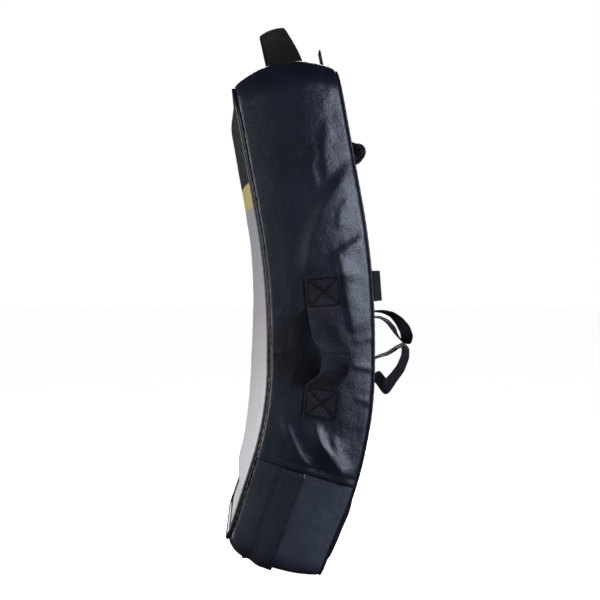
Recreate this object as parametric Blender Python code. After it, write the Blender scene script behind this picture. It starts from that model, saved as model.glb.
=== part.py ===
"""Curved kick shield: a long foam strike pad, concave on its strike face, in a sewn cover.

It carries webbing handles on both ends and both sides, and on its back a hand grip,
a hook-and-loop arm strap and two arm loops. Units are metres, +Z is up, +X is the
shield's right side and the strike face looks towards -Y. The origin lies on the back
panel, in the middle of its short upright stretch, where the forearm rests.

A place on the shield is given by s, the distance along its middle line upwards from
the origin's level, by n, the distance towards the back, and by x.
"""

import math

import bmesh
import bpy
from mathutils import Vector

# Body
WIDTH = 0.350
THICK = 0.150
HALF_W = WIDTH / 2
HALF_T = THICK / 2
SKIN = 0.002
GAP = 0.0004

# Middle line: an upright stretch, a gentle bend above it, a tighter one below it
FLAT = 0.032
UPPER_RADIUS = 1.063
UPPER_LEAN = math.radians(10.3)
UPPER_STRAIGHT = 0.195
LOWER_RADIUS = 0.522
LOWER_LEAN = math.radians(20.5)
LOWER_STRAIGHT = 0.112
UPPER_ARC = UPPER_RADIUS * UPPER_LEAN
LOWER_ARC = LOWER_RADIUS * LOWER_LEAN
S_TOP = FLAT / 2 + UPPER_ARC + UPPER_STRAIGHT
S_BOTTOM = -(FLAT / 2 + LOWER_ARC + LOWER_STRAIGHT)
S_SEAM = -0.173

# Ends and crowns
TOP_SKEW = 0.007
TOP_DOME = 0.018
BOTTOM_DOME = 0.004
TOE_RISE = 0.012
TOE_START = 0.045
SIDE_CROWN = 0.003
TOP_CORNER = 0.040
BOTTOM_CORNER = 0.018
CROWN_BASE = 0.013
CROWN_BEND = 0.017
CROWN_BEND_S = -0.045
CROWN_BEND_SPREAD = 0.160
CROWN_FADE = 0.090
CROWN_TOE = 0.020
CROWN_POWER = 2.2

# Rows of points
CORNER_STEPS = 5
TOP_CORNER_ROOM = 0.052
BOTTOM_CORNER_ROOM = 0.036
SAME_LEVEL = 0.001

# Piping
PIPING_RADIUS = 0.003
PANEL_INSET = 0.0034
FOAM_INSET = 0.0038

# Columns of n where the wall's flats meet
WALL_EDGE = HALF_T - PANEL_INSET
WALL_FLAT = 0.045
WALL_COLUMNS = (-WALL_EDGE, -WALL_FLAT, 0.0, WALL_FLAT, WALL_EDGE)
BOOT_FLAT = 0.050

# Foam layers, as places of n
STRIKE_LAYER = -0.050
BACK_LAYER = 0.048

# Zipper
ZIP_N = -0.012
COIL_HALF = 0.003
COIL_OUT = 0.0008
COIL_THICK = 0.0018
TAPE_WIDTH = 0.012
TAPE_THICK = 0.001
FLAP_FRONT = -0.043
FLAP_RISE_END = -0.029
FLAP_FOLD = -0.023
FLAP_REAR = 0.002
FLAP_LIFT_SIDE = 0.0030
FLAP_LIFT_BOTTOM = 0.0068
FLAP_THICK = 0.0018
SLIDER_TRAVEL = 0.240
SLIDER_SIZE = (0.012, 0.009, 0.0028)
PULL_SIZE = (0.018, 0.005, 0.0010)
PULL_AHEAD = 0.006

# Webbing
WEB = 0.050
WEB_THICK = 0.0024
LOOP_WEB = 0.022
FOOT_WIDTH = 0.006
FOOT_RISE = 0.016
HINGE_LIFT = 0.0055
PATCH = 0.046
SEAM_ALLOWANCE = 0.001


def smooth(t):
    """Eases from 0 to 1."""
    t = min(max(t, 0.0), 1.0)
    return t * t * (3 - 2 * t)


def mix(a, b, t):
    return a + (b - a) * t


# ---------------------------------------------------------------- the shield's own space

def spine(s):
    """Middle line: y, z and the lean of the line at s."""
    u = abs(s) - FLAT / 2
    if u <= 0:
        return -HALF_T, s, 0.0
    radius, lean = (UPPER_RADIUS, UPPER_LEAN) if s > 0 else (LOWER_RADIUS, LOWER_LEAN)
    turn = min(u / radius, lean)
    rest = u - radius * turn
    y = -HALF_T - radius * (1 - math.cos(turn)) - rest * math.sin(turn)
    z = FLAT / 2 + radius * math.sin(turn) + rest * math.cos(turn)
    return (y, z, turn) if s > 0 else (y, -z, -turn)


def place(s, n, x):
    """The point at s, n and x."""
    y, z, turn = spine(s)
    return Vector((x, y + n * math.cos(turn), z + n * math.sin(turn)))


def up_at(s):
    """Direction of growing s."""
    turn = spine(s)[2]
    return Vector((0, -math.sin(turn), math.cos(turn)))


def back_at(s):
    """Direction of growing n."""
    turn = spine(s)[2]
    return Vector((0, math.cos(turn), math.sin(turn)))


def bulge(n):
    """1 in the middle of the thickness, 0 at both faces."""
    return 1 - (n / HALF_T) ** 2


def top_s(n):
    return S_TOP + TOP_SKEW * n / HALF_T + TOP_DOME * bulge(n)


def bottom_s(n):
    toe = max(0.0, (-n - TOE_START) / (HALF_T - TOE_START))
    return S_BOTTOM - BOTTOM_DOME * bulge(n) + TOE_RISE * toe * toe


def half_width(n):
    return HALF_W + SIDE_CROWN * bulge(n)


def on_wall(shape, n):
    """A wall shape's value at n, straight between the wall's own columns."""
    for low, high in zip(WALL_COLUMNS, WALL_COLUMNS[1:]):
        if n <= high:
            break
    return mix(shape(low), shape(high), (n - low) / (high - low))


def crown(s, share):
    """How far the strike face stands out at s, and at a share of the half width."""
    spread = ((s - CROWN_BEND_S) / CROWN_BEND_SPREAD) ** 2
    height = CROWN_BASE + CROWN_BEND * math.exp(-spread)
    fade = smooth((S_TOP - s) / CROWN_FADE) * smooth((s - S_BOTTOM - CROWN_TOE) / CROWN_FADE)
    return height * fade * (1 - abs(share) ** CROWN_POWER)


def steps(a, b, count):
    return [mix(a, b, i / count) for i in range(1, count + 1)]


def body_levels():
    """Levels of s between the round corners, the same for every layer."""
    low = S_BOTTOM + BOTTOM_CORNER_ROOM
    levels = [low]
    levels += steps(low, S_SEAM, 3)
    levels += steps(S_SEAM, -FLAT / 2, 4)
    levels += [FLAT / 2]
    levels += steps(FLAT / 2, FLAT / 2 + UPPER_ARC, 4)
    levels += steps(FLAT / 2 + UPPER_ARC, S_TOP - TOP_CORNER_ROOM, 3)
    return levels


def corner_rows(n, inset, top):
    """Half widths and levels round the two top or the two bottom corners."""
    radius = (TOP_CORNER if top else BOTTOM_CORNER) - inset
    end = top_s(n) - inset if top else bottom_s(n) + inset
    sign = 1 if top else -1
    centre = end - sign * radius
    reach = half_width(n) - inset - radius
    rows = []
    for k in range(CORNER_STEPS):
        a = math.radians(90 * k / (CORNER_STEPS - 1))
        rows.append((reach + radius * math.cos(a), centre + sign * radius * math.sin(a)))
    return rows


def face_rows(n, inset):
    """Half width and level of each row of a face panel or foam layer, bottom to top."""
    side = half_width(n) - inset
    rows = list(reversed(corner_rows(n, inset, False)))
    rows += [(side, s) for s in body_levels()]
    rows += corner_rows(n, inset, True)
    return rows


# ---------------------------------------------------------------- meshes and objects

def material(name, colour, roughness, metallic=0.0):
    made = bpy.data.materials.new(name)
    made.use_nodes = True
    shader = made.node_tree.nodes["Principled BSDF"]
    shader.inputs["Base Color"].default_value = (*colour, 1.0)
    shader.inputs["Roughness"].default_value = roughness
    shader.inputs["Metallic"].default_value = metallic
    made.diffuse_color = (*colour, 1.0)
    return made


def finish(name, mesh, finish_of, pivot=None):
    """Puts a mesh in the scene as a named object whose origin is its pivot."""
    made = bpy.data.objects.new(name, mesh)
    bpy.context.scene.collection.objects.link(made)
    if pivot is not None:
        for vertex in mesh.vertices:
            vertex.co -= pivot
        made.location = pivot
    made.data.materials.append(material(name, *finish_of))
    return made


def closed_mesh(name, outer, inner):
    """A closed solid between two grids of points, rows by columns."""
    bm = bmesh.new()
    sheets = []
    for grid in (outer, inner):
        sheets.append([[bm.verts.new(p) for p in row] for row in grid])
    for sheet in sheets:
        for row, above in zip(sheet, sheet[1:]):
            for k in range(len(row) - 1):
                bm.faces.new((row[k], row[k + 1], above[k + 1], above[k]))
    open_edges = [edge for edge in bm.edges if edge.is_boundary]
    bmesh.ops.bridge_loops(bm, edges=open_edges)
    bmesh.ops.recalc_face_normals(bm, faces=bm.faces)
    mesh = bpy.data.meshes.new(name)
    bm.to_mesh(mesh)
    bm.free()
    mesh.shade_smooth()
    mesh.set_sharp_from_angle(angle=math.radians(35))
    return mesh


def face_slab(name, finish_of, inset, outer, inner, shares):
    """A face panel or a foam layer. Each side is its depth n, the depth whose outline
    it follows, and whether it has the strike face's crown."""
    grids = []
    for n, outline_n, crowned in (outer, inner):
        grid = []
        for half, s in face_rows(outline_n, inset):
            row = []
            for share in shares:
                rise = crown(s, share) if crowned else 0.0
                row.append(place(s, n - rise, half * share))
            grid.append(row)
        grids.append(grid)
    return finish(name, closed_mesh(name, *grids), finish_of)


def ring(n, out, main):
    """Points round the wall at depth n: the main run over the top, or the boot's run."""
    corner = corner_rows(n, -out, main)
    side = half_width(n) + out
    levels = body_levels()
    if main:
        rising = [(side, s) for s in levels if s > S_SEAM + SAME_LEVEL]
        half_run = [(side, S_SEAM + GAP / 2)] + rising + corner
    else:
        falling = [(side, s) for s in reversed(levels) if s < S_SEAM - SAME_LEVEL]
        half_run = [(side, S_SEAM - GAP / 2)] + falling + corner
    right = [place(s, n, half) for half, s in half_run]
    left = [place(s, n, -half) for half, s in reversed(half_run)]
    return right + left


def wall_strip(name, finish_of, depths, out, thickness, main):
    """A strip of the wall. depths are its columns of n; out is its outer height."""
    grids = []
    for height in (out, out - thickness):
        columns = [ring(n, height, main) for n in depths]
        grids.append([list(row) for row in zip(*columns)])
    return finish(name, closed_mesh(name, *grids), finish_of)


def ribbon_mesh(name, path, widths, across):
    """A strip along a path, each row as wide as its width in its own direction."""
    bm = bmesh.new()
    rows = []
    for point, width, side in zip(path, widths, across):
        half = side.normalized() * width / 2
        rows.append((bm.verts.new(point - half), bm.verts.new(point + half)))
    for (a, b), (c, d) in zip(rows, rows[1:]):
        bm.faces.new((a, b, d, c))
    mesh = bpy.data.meshes.new(name)
    bm.to_mesh(mesh)
    bm.free()
    return mesh


def ribbon(name, finish_of, path, widths, across, thickness=WEB_THICK, pivot=None):
    """Webbing: a strip thickened on both of its sides."""
    made = finish(name, ribbon_mesh(name, path, widths, across), finish_of, pivot)
    solid = made.modifiers.new("Thickness", "SOLIDIFY")
    solid.thickness = thickness
    solid.offset = 0.0
    solid.use_even_offset = False
    return made


def block(name, finish_of, centre, size, axes, bevel):
    """A small block with bevelled edges, its sides along three given directions."""
    bm = bmesh.new()
    bmesh.ops.create_cube(bm, size=1.0)
    for vertex in bm.verts:
        local = [c * length for c, length in zip(vertex.co, size)]
        vertex.co = centre + sum((axis * c for axis, c in zip(axes, local)), Vector())
    bmesh.ops.recalc_face_normals(bm, faces=bm.faces)
    mesh = bpy.data.meshes.new(name)
    bm.to_mesh(mesh)
    bm.free()
    made = finish(name, mesh, finish_of, centre)
    edge = made.modifiers.new("Edge", "BEVEL")
    edge.width = bevel
    edge.segments = 1
    return made


# ---------------------------------------------------------------- finishes

BLACK_COVER = ((0.020, 0.022, 0.030), 0.45)
GREY_FACE = ((0.42, 0.42, 0.46), 0.50)
BLACK_PIPING = ((0.010, 0.010, 0.012), 0.50)
BLACK_WEB = ((0.012, 0.012, 0.014), 0.85)
BLACK_TAPE = ((0.015, 0.015, 0.018), 0.90)
ZIP_PLASTIC = ((0.020, 0.020, 0.022), 0.40)
ZIP_METAL = ((0.080, 0.080, 0.085), 0.35, 1.0)
DENSE_FOAM = ((0.10, 0.10, 0.11), 0.95)
MAIN_FOAM = ((0.75, 0.75, 0.72), 0.95)
SOFT_FOAM = ((0.55, 0.58, 0.62), 0.95)


# ---------------------------------------------------------------- cover

def build_cover():
    crowned = [i / 4 for i in range(-4, 5)]
    plain = [-1.0, -0.5, 0.0, 0.5, 1.0]
    front, rear = -HALF_T, HALF_T
    strike_side = (front, front, True), (front + SKIN, front, True)
    face_slab("front_panel", GREY_FACE, PANEL_INSET, *strike_side, crowned)
    arm_side = (rear, rear, False), (rear - SKIN, rear, False)
    face_slab("back_panel", BLACK_COVER, PANEL_INSET, *arm_side, plain)
    zip_front = ZIP_N - COIL_HALF - TAPE_WIDTH - 2 * GAP
    zip_rear = ZIP_N + COIL_HALF + TAPE_WIDTH + 2 * GAP
    front_columns = -WALL_EDGE, -BOOT_FLAT, zip_front
    rear_columns = zip_rear, WALL_FLAT, WALL_EDGE
    wall_strip("main_gusset", BLACK_COVER, WALL_COLUMNS, 0.0, SKIN, True)
    wall_strip("boot_gusset_front", BLACK_COVER, front_columns, 0.0, SKIN, False)
    wall_strip("boot_gusset_rear", BLACK_COVER, rear_columns, 0.0, SKIN, False)


def flap_ring(n, lift, lower):
    """Wall points raised little on the sides and more under the bottom end."""
    side = ring(n, mix(GAP, FLAP_LIFT_SIDE, lift) + FLAP_THICK - lower, False)
    base = ring(n, mix(GAP, FLAP_LIFT_BOTTOM, lift) + FLAP_THICK - lower, False)
    corner = len([s for s in body_levels() if s < S_SEAM - SAME_LEVEL]) + 1
    points = []
    for i, (a, b) in enumerate(zip(side, base)):
        from_end = min(i, len(side) - 1 - i)
        points.append(a.lerp(b, smooth((from_end - corner + 1) / (CORNER_STEPS - 1))))
    return points


def build_flap():
    depths = [FLAP_FRONT, FLAP_RISE_END, FLAP_FOLD, FLAP_REAR]
    lifts = [0.0, 1.0, 1.0, 1.0]
    grids = []
    for lower in (0.0, FLAP_THICK):
        columns = [flap_ring(n, lift, lower) for n, lift in zip(depths, lifts)]
        grids.append([list(row) for row in zip(*columns)])
    finish("zip_flap", closed_mesh("zip_flap", *grids), BLACK_COVER)


def piping_path(n):
    """The corner line between the wall and a face, all the way round."""
    upper = ring(n, 0.0, True)
    lower = ring(n, 0.0, False)
    return upper + list(reversed(lower[1:-1]))


def build_piping(name, n):
    curve = bpy.data.curves.new(name, "CURVE")
    curve.dimensions = "3D"
    curve.bevel_depth = PIPING_RADIUS
    curve.bevel_resolution = 1
    path = piping_path(n)
    spline = curve.splines.new("POLY")
    spline.points.add(len(path) - 1)
    for point, co in zip(spline.points, path):
        point.co = (*co, 1.0)
    spline.use_cyclic_u = True
    made = bpy.data.objects.new(name, curve)
    bpy.context.scene.collection.objects.link(made)
    made.data.materials.append(material(name, *BLACK_PIPING))


# ---------------------------------------------------------------- foam

def build_foam():
    crowned = [i / 4 for i in range(-4, 5)]
    plain = [-1.0, 0.0, 1.0]
    inner = HALF_T - SKIN - GAP
    strike = (-inner, -HALF_T, True), (STRIKE_LAYER, STRIKE_LAYER, False)
    face_slab("strike_foam", DENSE_FOAM, FOAM_INSET, *strike, crowned)
    low, high = STRIKE_LAYER + GAP, BACK_LAYER - GAP
    face_slab("core_foam", MAIN_FOAM, FOAM_INSET, (low, low, False), (high, high, False), plain)
    rear = (BACK_LAYER, BACK_LAYER, False), (inner, HALF_T, False)
    face_slab("back_foam", SOFT_FOAM, FOAM_INSET, *rear, plain)


# ---------------------------------------------------------------- zipper

def build_zipper():
    front = ZIP_N - COIL_HALF - GAP
    rear = ZIP_N + COIL_HALF + GAP
    front_tape = front - TAPE_WIDTH, front
    rear_tape = rear, rear + TAPE_WIDTH
    wall_strip("zip_tape_front", BLACK_TAPE, front_tape, -GAP, TAPE_THICK, False)
    wall_strip("zip_tape_rear", BLACK_TAPE, rear_tape, -GAP, TAPE_THICK, False)
    coil = ZIP_N - COIL_HALF, ZIP_N + COIL_HALF
    wall_strip("zip_coil", ZIP_PLASTIC, coil, COIL_OUT, COIL_THICK, False)
    axes = Vector((1, 0, 0)), back_at(S_BOTTOM), -up_at(S_BOTTOM)
    start = -SLIDER_TRAVEL / 2
    surface = bottom_s(ZIP_N) - COIL_OUT - GAP
    slider = place(surface - SLIDER_SIZE[2] / 2, ZIP_N, start)
    block("zip_slider", ZIP_METAL, slider, SLIDER_SIZE, axes, 0.0006)
    pull = place(surface - SLIDER_SIZE[2] - GAP - PULL_SIZE[2] / 2, ZIP_N, start + PULL_AHEAD)
    block("zip_pull", ZIP_METAL, pull, PULL_SIZE, axes, 0.0002)


# ---------------------------------------------------------------- handles

def foot_width(rise, full):
    """Webbing narrows to its hinge line, so that it can lean both ways."""
    return mix(FOOT_WIDTH, full, min(rise / FOOT_RISE, 1.0))


def arch(half_span, height, count):
    """Shares of an arch from its right foot to its left one: span and rise."""
    points = []
    for i in range(count + 1):
        a = math.pi * i / count
        points.append((half_span * math.cos(a), height * math.sin(a)))
    return points


def arch_handle(name, middle, along, out, across, half_span, height, waist, count=12):
    """A handle whose feet lie on a line through middle, and which rises along out."""
    path, widths = [], []
    for span, rise in arch(half_span, height, count):
        path.append(middle + along * span + out * rise)
        full = mix(WEB, waist, smooth(rise / height))
        widths.append(foot_width(rise, full))
    sides = [across] * len(path)
    return ribbon(name, BLACK_WEB, path, widths, sides, pivot=middle)


def end_patch(name, n_centre, x0, x1, top, out):
    """The sewn end of an end handle, laid on the wall."""
    grids = []
    for height in (out + WEB_THICK, out):
        grid = []
        for x in (x0, x1):
            row = []
            for n in (n_centre - WEB / 2, 0.0, n_centre + WEB / 2):
                s = on_wall(top_s, n) + height if top else bottom_s(n) - height
                row.append(place(s, n, x))
            grid.append(row)
        grids.append(grid)
    return finish(name, closed_mesh(name, *grids), BLACK_WEB)


TOP_FOOT_N = 0.012
TOP_HALF_SPAN = 0.062
TOP_HEIGHT = 0.074
TOP_LEAN = math.radians(9.7)
TOP_WAIST = 0.042
BOTTOM_FOOT_N = -0.014
BOTTOM_HALF_SPAN = 0.060
BOTTOM_HEIGHT = 0.026
BOTTOM_WAIST = 0.044


def build_end_handles():
    right = Vector((1, 0, 0))
    up, back = up_at(S_TOP), back_at(S_TOP)
    foot = top_s(TOP_FOOT_N) + WEB_THICK + HINGE_LIFT
    middle = place(foot, TOP_FOOT_N, 0)
    out = up * math.cos(TOP_LEAN) - back * math.sin(TOP_LEAN)
    across = back * math.cos(TOP_LEAN) + up * math.sin(TOP_LEAN)
    arch_handle("top_handle", middle, right, out, across, TOP_HALF_SPAN, TOP_HEIGHT, TOP_WAIST)
    inner = TOP_HALF_SPAN + SEAM_ALLOWANCE
    end_patch("top_handle_end_right", TOP_FOOT_N, inner, inner + PATCH, True, GAP)
    end_patch("top_handle_end_left", TOP_FOOT_N, -inner - PATCH, -inner, True, GAP)

    down, back = -up_at(S_BOTTOM), back_at(S_BOTTOM)
    laid = FLAP_LIFT_BOTTOM + FLAP_THICK + GAP
    foot = bottom_s(BOTTOM_FOOT_N) - laid - HINGE_LIFT
    middle = place(foot, BOTTOM_FOOT_N, 0)
    arch_handle("bottom_handle", middle, right, down, back, BOTTOM_HALF_SPAN, BOTTOM_HEIGHT,
                BOTTOM_WAIST)
    inner = BOTTOM_HALF_SPAN + SEAM_ALLOWANCE
    end_patch("bottom_handle_end_right", BOTTOM_FOOT_N, inner, inner + PATCH, False, laid)
    end_patch("bottom_handle_end_left", BOTTOM_FOOT_N, -inner - PATCH, -inner, False, laid)


SIDE_TOP_S = 0.062
SIDE_BOTTOM_S = -0.045
SIDE_HEIGHT = 0.046
SIDE_LEAN = math.radians(20)
SIDE_WAIST = 0.044


def build_side_handle(name, sign):
    """One side handle and its two box-stitched ends. sign is 1 on the right, -1 on the left."""
    side = half_width(0.0)
    up = Vector((0, 0, 1))
    lowest = place(SIDE_BOTTOM_S, 0, 0)
    highest = place(SIDE_TOP_S, 0, 0)
    middle = (lowest + highest) / 2
    middle.x = sign * (side + HINGE_LIFT + GAP)
    out = Vector((sign * math.cos(SIDE_LEAN), math.sin(SIDE_LEAN), 0))
    across = Vector((-sign * math.sin(SIDE_LEAN), math.cos(SIDE_LEAN), 0))
    half_span = (highest - lowest).length / 2
    arch_handle(name, middle, up, out, across, half_span, SIDE_HEIGHT, SIDE_WAIST)
    for end, s in (("upper", SIDE_TOP_S), ("lower", SIDE_BOTTOM_S)):
        away = 1 if end == "upper" else -1
        grids = []
        for height in (GAP + WEB_THICK, GAP):
            grid = []
            for level in (SEAM_ALLOWANCE, SEAM_ALLOWANCE + PATCH / 2, SEAM_ALLOWANCE + PATCH):
                row = []
                for share in (-1.0, 0.0, 1.0):
                    n = share * WEB / 2
                    x = sign * (on_wall(half_width, n) + height)
                    row.append(place(s + away * level, n, x))
                grid.append(row)
            grids.append(grid)
        patch = f"{name}_end_{end}"
        finish(patch, closed_mesh(patch, *grids), BLACK_WEB)


# ---------------------------------------------------------------- back straps

def back_patch(name, x0, x1, s0, s1, out):
    """A piece of webbing sewn flat on the back panel."""
    levels = [s0] + [s for s in body_levels() if s0 < s < s1] + [s1]
    grids = []
    for height in (out + WEB_THICK, out):
        grids.append([[place(s, HALF_T + height, x) for x in (x0, x1)] for s in levels])
    return finish(name, closed_mesh(name, *grids), BLACK_WEB)


GRIP_S = 0.289
GRIP_HALF = 0.066
GRIP_RADIUS = 0.0125
GRIP_BASE_HALF = 0.112
GRIP_BASE_WIDTH = 0.052
GRIP_END_WIDTH = 0.038
GRIP_END_LENGTH = 0.040
GRIP_SIDES = 12


def build_grip():
    out, up = back_at(GRIP_S), up_at(GRIP_S)
    s0, s1 = GRIP_S - GRIP_BASE_WIDTH / 2, GRIP_S + GRIP_BASE_WIDTH / 2
    back_patch("grip_base", -GRIP_BASE_HALF, GRIP_BASE_HALF, s0, s1, GAP)
    laid = 2 * GAP + WEB_THICK
    inner = GRIP_HALF + SEAM_ALLOWANCE
    outer = inner + GRIP_END_LENGTH
    s0, s1 = GRIP_S - GRIP_END_WIDTH / 2, GRIP_S + GRIP_END_WIDTH / 2
    back_patch("grip_end_right", inner, outer, s0, s1, laid)
    back_patch("grip_end_left", -outer, -inner, s0, s1, laid)
    base = place(GRIP_S, HALF_T + laid + WEB_THICK, 0)
    # Share of the half length, height over the base, half thickness, half width
    stations = (
        (1.00, 0.0020, 0.0010, 0.014),
        (0.90, 0.0075, 0.0020, 0.015),
        (0.76, 0.0150, GRIP_RADIUS - 0.002, GRIP_RADIUS),
        (0.40, 0.0160, GRIP_RADIUS, GRIP_RADIUS + 0.001),
        (0.00, 0.0160, GRIP_RADIUS, GRIP_RADIUS + 0.001),
    )
    rings = list(stations) + [(-a, b, c, d) for a, b, c, d in reversed(stations[:-1])]
    bm = bmesh.new()
    loops = []
    for share, height, thick, tall in rings:
        loop = []
        for k in range(GRIP_SIDES):
            a = 2 * math.pi * k / GRIP_SIDES
            lift = height + thick * math.cos(a)
            point = base + out * lift + up * tall * math.sin(a)
            point.x = share * GRIP_HALF
            loop.append(bm.verts.new(point))
        loops.append(loop)
    for one, two in zip(loops, loops[1:]):
        for k in range(GRIP_SIDES):
            j = (k + 1) % GRIP_SIDES
            bm.faces.new((one[k], one[j], two[j], two[k]))
    bm.faces.new(loops[0])
    bm.faces.new(loops[-1])
    bmesh.ops.recalc_face_normals(bm, faces=bm.faces)
    mesh = bpy.data.meshes.new("grip_handle")
    bm.to_mesh(mesh)
    bm.free()
    mesh.shade_smooth()
    finish("grip_handle", mesh, BLACK_WEB, base)


STRAP_S = 0.091
STRAP_FOOT = 0.095
STRAP_WEB = 0.046
STRAP_HEIGHT = 0.014
STRAP_LAP = 0.025
HOOK_THICK = 0.0012
HOOK_MARGIN = 0.003
STRAP_BASE_N = HALF_T + GAP + WEB_THICK + 0.0028
STRAP_RISE = 0.060
LAP_SPARE = 0.0006


def strap_height(x):
    """Height of the arm strap's lower layer over its feet."""
    return STRAP_HEIGHT * math.sqrt(max(0.0, 1 - (x / STRAP_FOOT) ** 2))


def strap_band(name, x0, x1, lift_at, count, pivot=None, tape=False):
    """One layer of the arm strap between two places of x."""
    out, up = back_at(STRAP_S), up_at(STRAP_S)
    base = place(STRAP_S, STRAP_BASE_N, 0)
    path = []
    for i in range(count + 1):
        x = mix(x0, x1, i / count)
        path.append(base + out * (strap_height(x) + lift_at(x)) + Vector((x, 0, 0)))
    width = STRAP_WEB - 2 * HOOK_MARGIN if tape else STRAP_WEB
    thickness = HOOK_THICK if tape else WEB_THICK
    finish_of = BLACK_TAPE if tape else BLACK_WEB
    return ribbon(name, finish_of, path, [width] * len(path), [up] * len(path), thickness, pivot)


def build_arm_strap():
    """The strap's two halves meet over the middle, hook tape on loop tape."""
    inner = STRAP_FOOT + SEAM_ALLOWANCE
    s0, s1 = STRAP_S - STRAP_WEB / 2, STRAP_S + STRAP_WEB / 2
    back_patch("arm_strap_end_right", inner, inner + PATCH, s0, s1, GAP)
    back_patch("arm_strap_end_left", -inner - PATCH, -inner, s0, s1, GAP)
    pivot = place(STRAP_S, STRAP_BASE_N, STRAP_FOOT)
    tape = (WEB_THICK + HOOK_THICK) / 2 + GAP
    stack = 2 * tape + HOOK_THICK + GAP + LAP_SPARE

    def lower_web(x):
        return 0.0

    def upper_web(x):
        return stack * smooth((STRAP_FOOT - x) / STRAP_RISE)

    def loop_tape(x):
        return tape

    def hook_tape(x):
        return stack - tape

    reach = STRAP_LAP - SEAM_ALLOWANCE
    strap_band("arm_strap_loop_half", -STRAP_FOOT, STRAP_LAP, lower_web, 10)
    strap_band("arm_strap_hook_half", STRAP_FOOT, -STRAP_LAP, upper_web, 10, pivot)
    strap_band("arm_strap_loop_tape", -reach, reach, loop_tape, 4, tape=True)
    strap_band("arm_strap_hook_tape", reach, -reach, hook_tape, 4, pivot, tape=True)


LOOP_HALF_SPAN = 0.080
LOOP_LENGTH = 0.067
UPPER_LOOP_S = 0.0588
UPPER_LOOP_DIP = math.radians(24.5)
LOWER_LOOP_S = -0.0422
LOWER_LOOP_RISE = math.radians(36.8)
LOOP_LIFT = 0.0050
LOOP_TWIST = math.radians(70)
LOOP_PATCH = 0.028
LOOP_PATCH_GAP = 0.002


def arm_loop(name, s_foot, rise):
    """Webbing that leaves the back with its width along x and turns flat at its middle."""
    middle = place(s_foot, HALF_T + LOOP_LIFT, 0)
    out = Vector((0, math.cos(rise), math.sin(rise)))
    flat = Vector((0, -math.sin(rise), math.cos(rise)))
    half_count = 10
    path, sides = [], []
    for i in range(half_count + 1):
        a = math.pi / 2 * i / half_count
        span, high = LOOP_HALF_SPAN * math.cos(a), LOOP_LENGTH * math.sin(a)
        path.append(middle + Vector((span, 0, 0)) + out * high)
        normal = Vector((math.cos(a) / LOOP_HALF_SPAN, 0, 0)) + out * (math.sin(a) / LOOP_LENGTH)
        turn = math.pi / 2 * smooth(a / LOOP_TWIST)
        sides.append(normal.normalized() * math.cos(turn) + flat * math.sin(turn))
    for point, side in list(zip(path, sides))[-2::-1]:
        path.append(Vector((-point.x, point.y, point.z)))
        sides.append(Vector((-side.x, side.y, side.z)))
    ribbon(name, BLACK_WEB, path, [LOOP_WEB] * len(path), sides, pivot=middle)


def build_arm_loops():
    arm_loop("arm_loop_upper", UPPER_LOOP_S, -UPPER_LOOP_DIP)
    arm_loop("arm_loop_lower", LOWER_LOOP_S, LOWER_LOOP_RISE)
    near, far = LOOP_PATCH_GAP, LOOP_PATCH_GAP + LOOP_PATCH
    half = LOOP_WEB / 2
    for side, x in (("right", LOOP_HALF_SPAN), ("left", -LOOP_HALF_SPAN)):
        upper = UPPER_LOOP_S - far, UPPER_LOOP_S - near
        lower = LOWER_LOOP_S + near, LOWER_LOOP_S + far
        back_patch(f"arm_loop_upper_end_{side}", x - half, x + half, *upper, GAP)
        back_patch(f"arm_loop_lower_end_{side}", x - half, x + half, *lower, GAP)


HANG_N = 0.0655
HANG_HEIGHT = 0.050
HANG_WIDTH = 0.025
HANG_THICK = 0.0012
HANG_BEND = 0.0013
HANG_LIFT = 0.0015


def build_hang_loop():
    """A strip of webbing folded on itself, standing on the top end's back edge."""
    up, back = up_at(S_TOP), back_at(S_TOP)
    base = place(top_s(HANG_N) + HANG_LIFT, HANG_N, 0)
    path = [base - back * HANG_BEND, base - back * HANG_BEND + up * HANG_HEIGHT * 0.5]
    crest = base + up * (HANG_HEIGHT - HANG_BEND)
    for k in range(7):
        a = math.pi * k / 6
        path.append(crest - back * HANG_BEND * math.cos(a) + up * HANG_BEND * math.sin(a))
    path += [base + back * HANG_BEND + up * HANG_HEIGHT * 0.5, base + back * HANG_BEND]
    side = Vector((1, 0, 0))
    count = len(path)
    ribbon("hang_loop", BLACK_WEB, path, [HANG_WIDTH] * count, [side] * count, HANG_THICK, base)


def build():
    for old in list(bpy.data.objects):
        bpy.data.objects.remove(old, do_unlink=True)
    build_cover()
    build_flap()
    build_piping("front_piping", -HALF_T)
    build_piping("back_piping", HALF_T)
    build_foam()
    build_zipper()
    build_end_handles()
    build_side_handle("side_handle_right", 1)
    build_side_handle("side_handle_left", -1)
    build_grip()
    build_arm_strap()
    build_arm_loops()
    build_hang_loop()


build()
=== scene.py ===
"""Looks of the curved kick shield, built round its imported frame.

A place on the shield is given by s, the distance along its middle line upwards, by n,
the distance towards the back, and by x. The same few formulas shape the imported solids.
"""

import math

import bmesh
import bpy
import numpy as np
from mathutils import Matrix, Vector, noise
from mathutils.bvhtree import BVHTree


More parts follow.
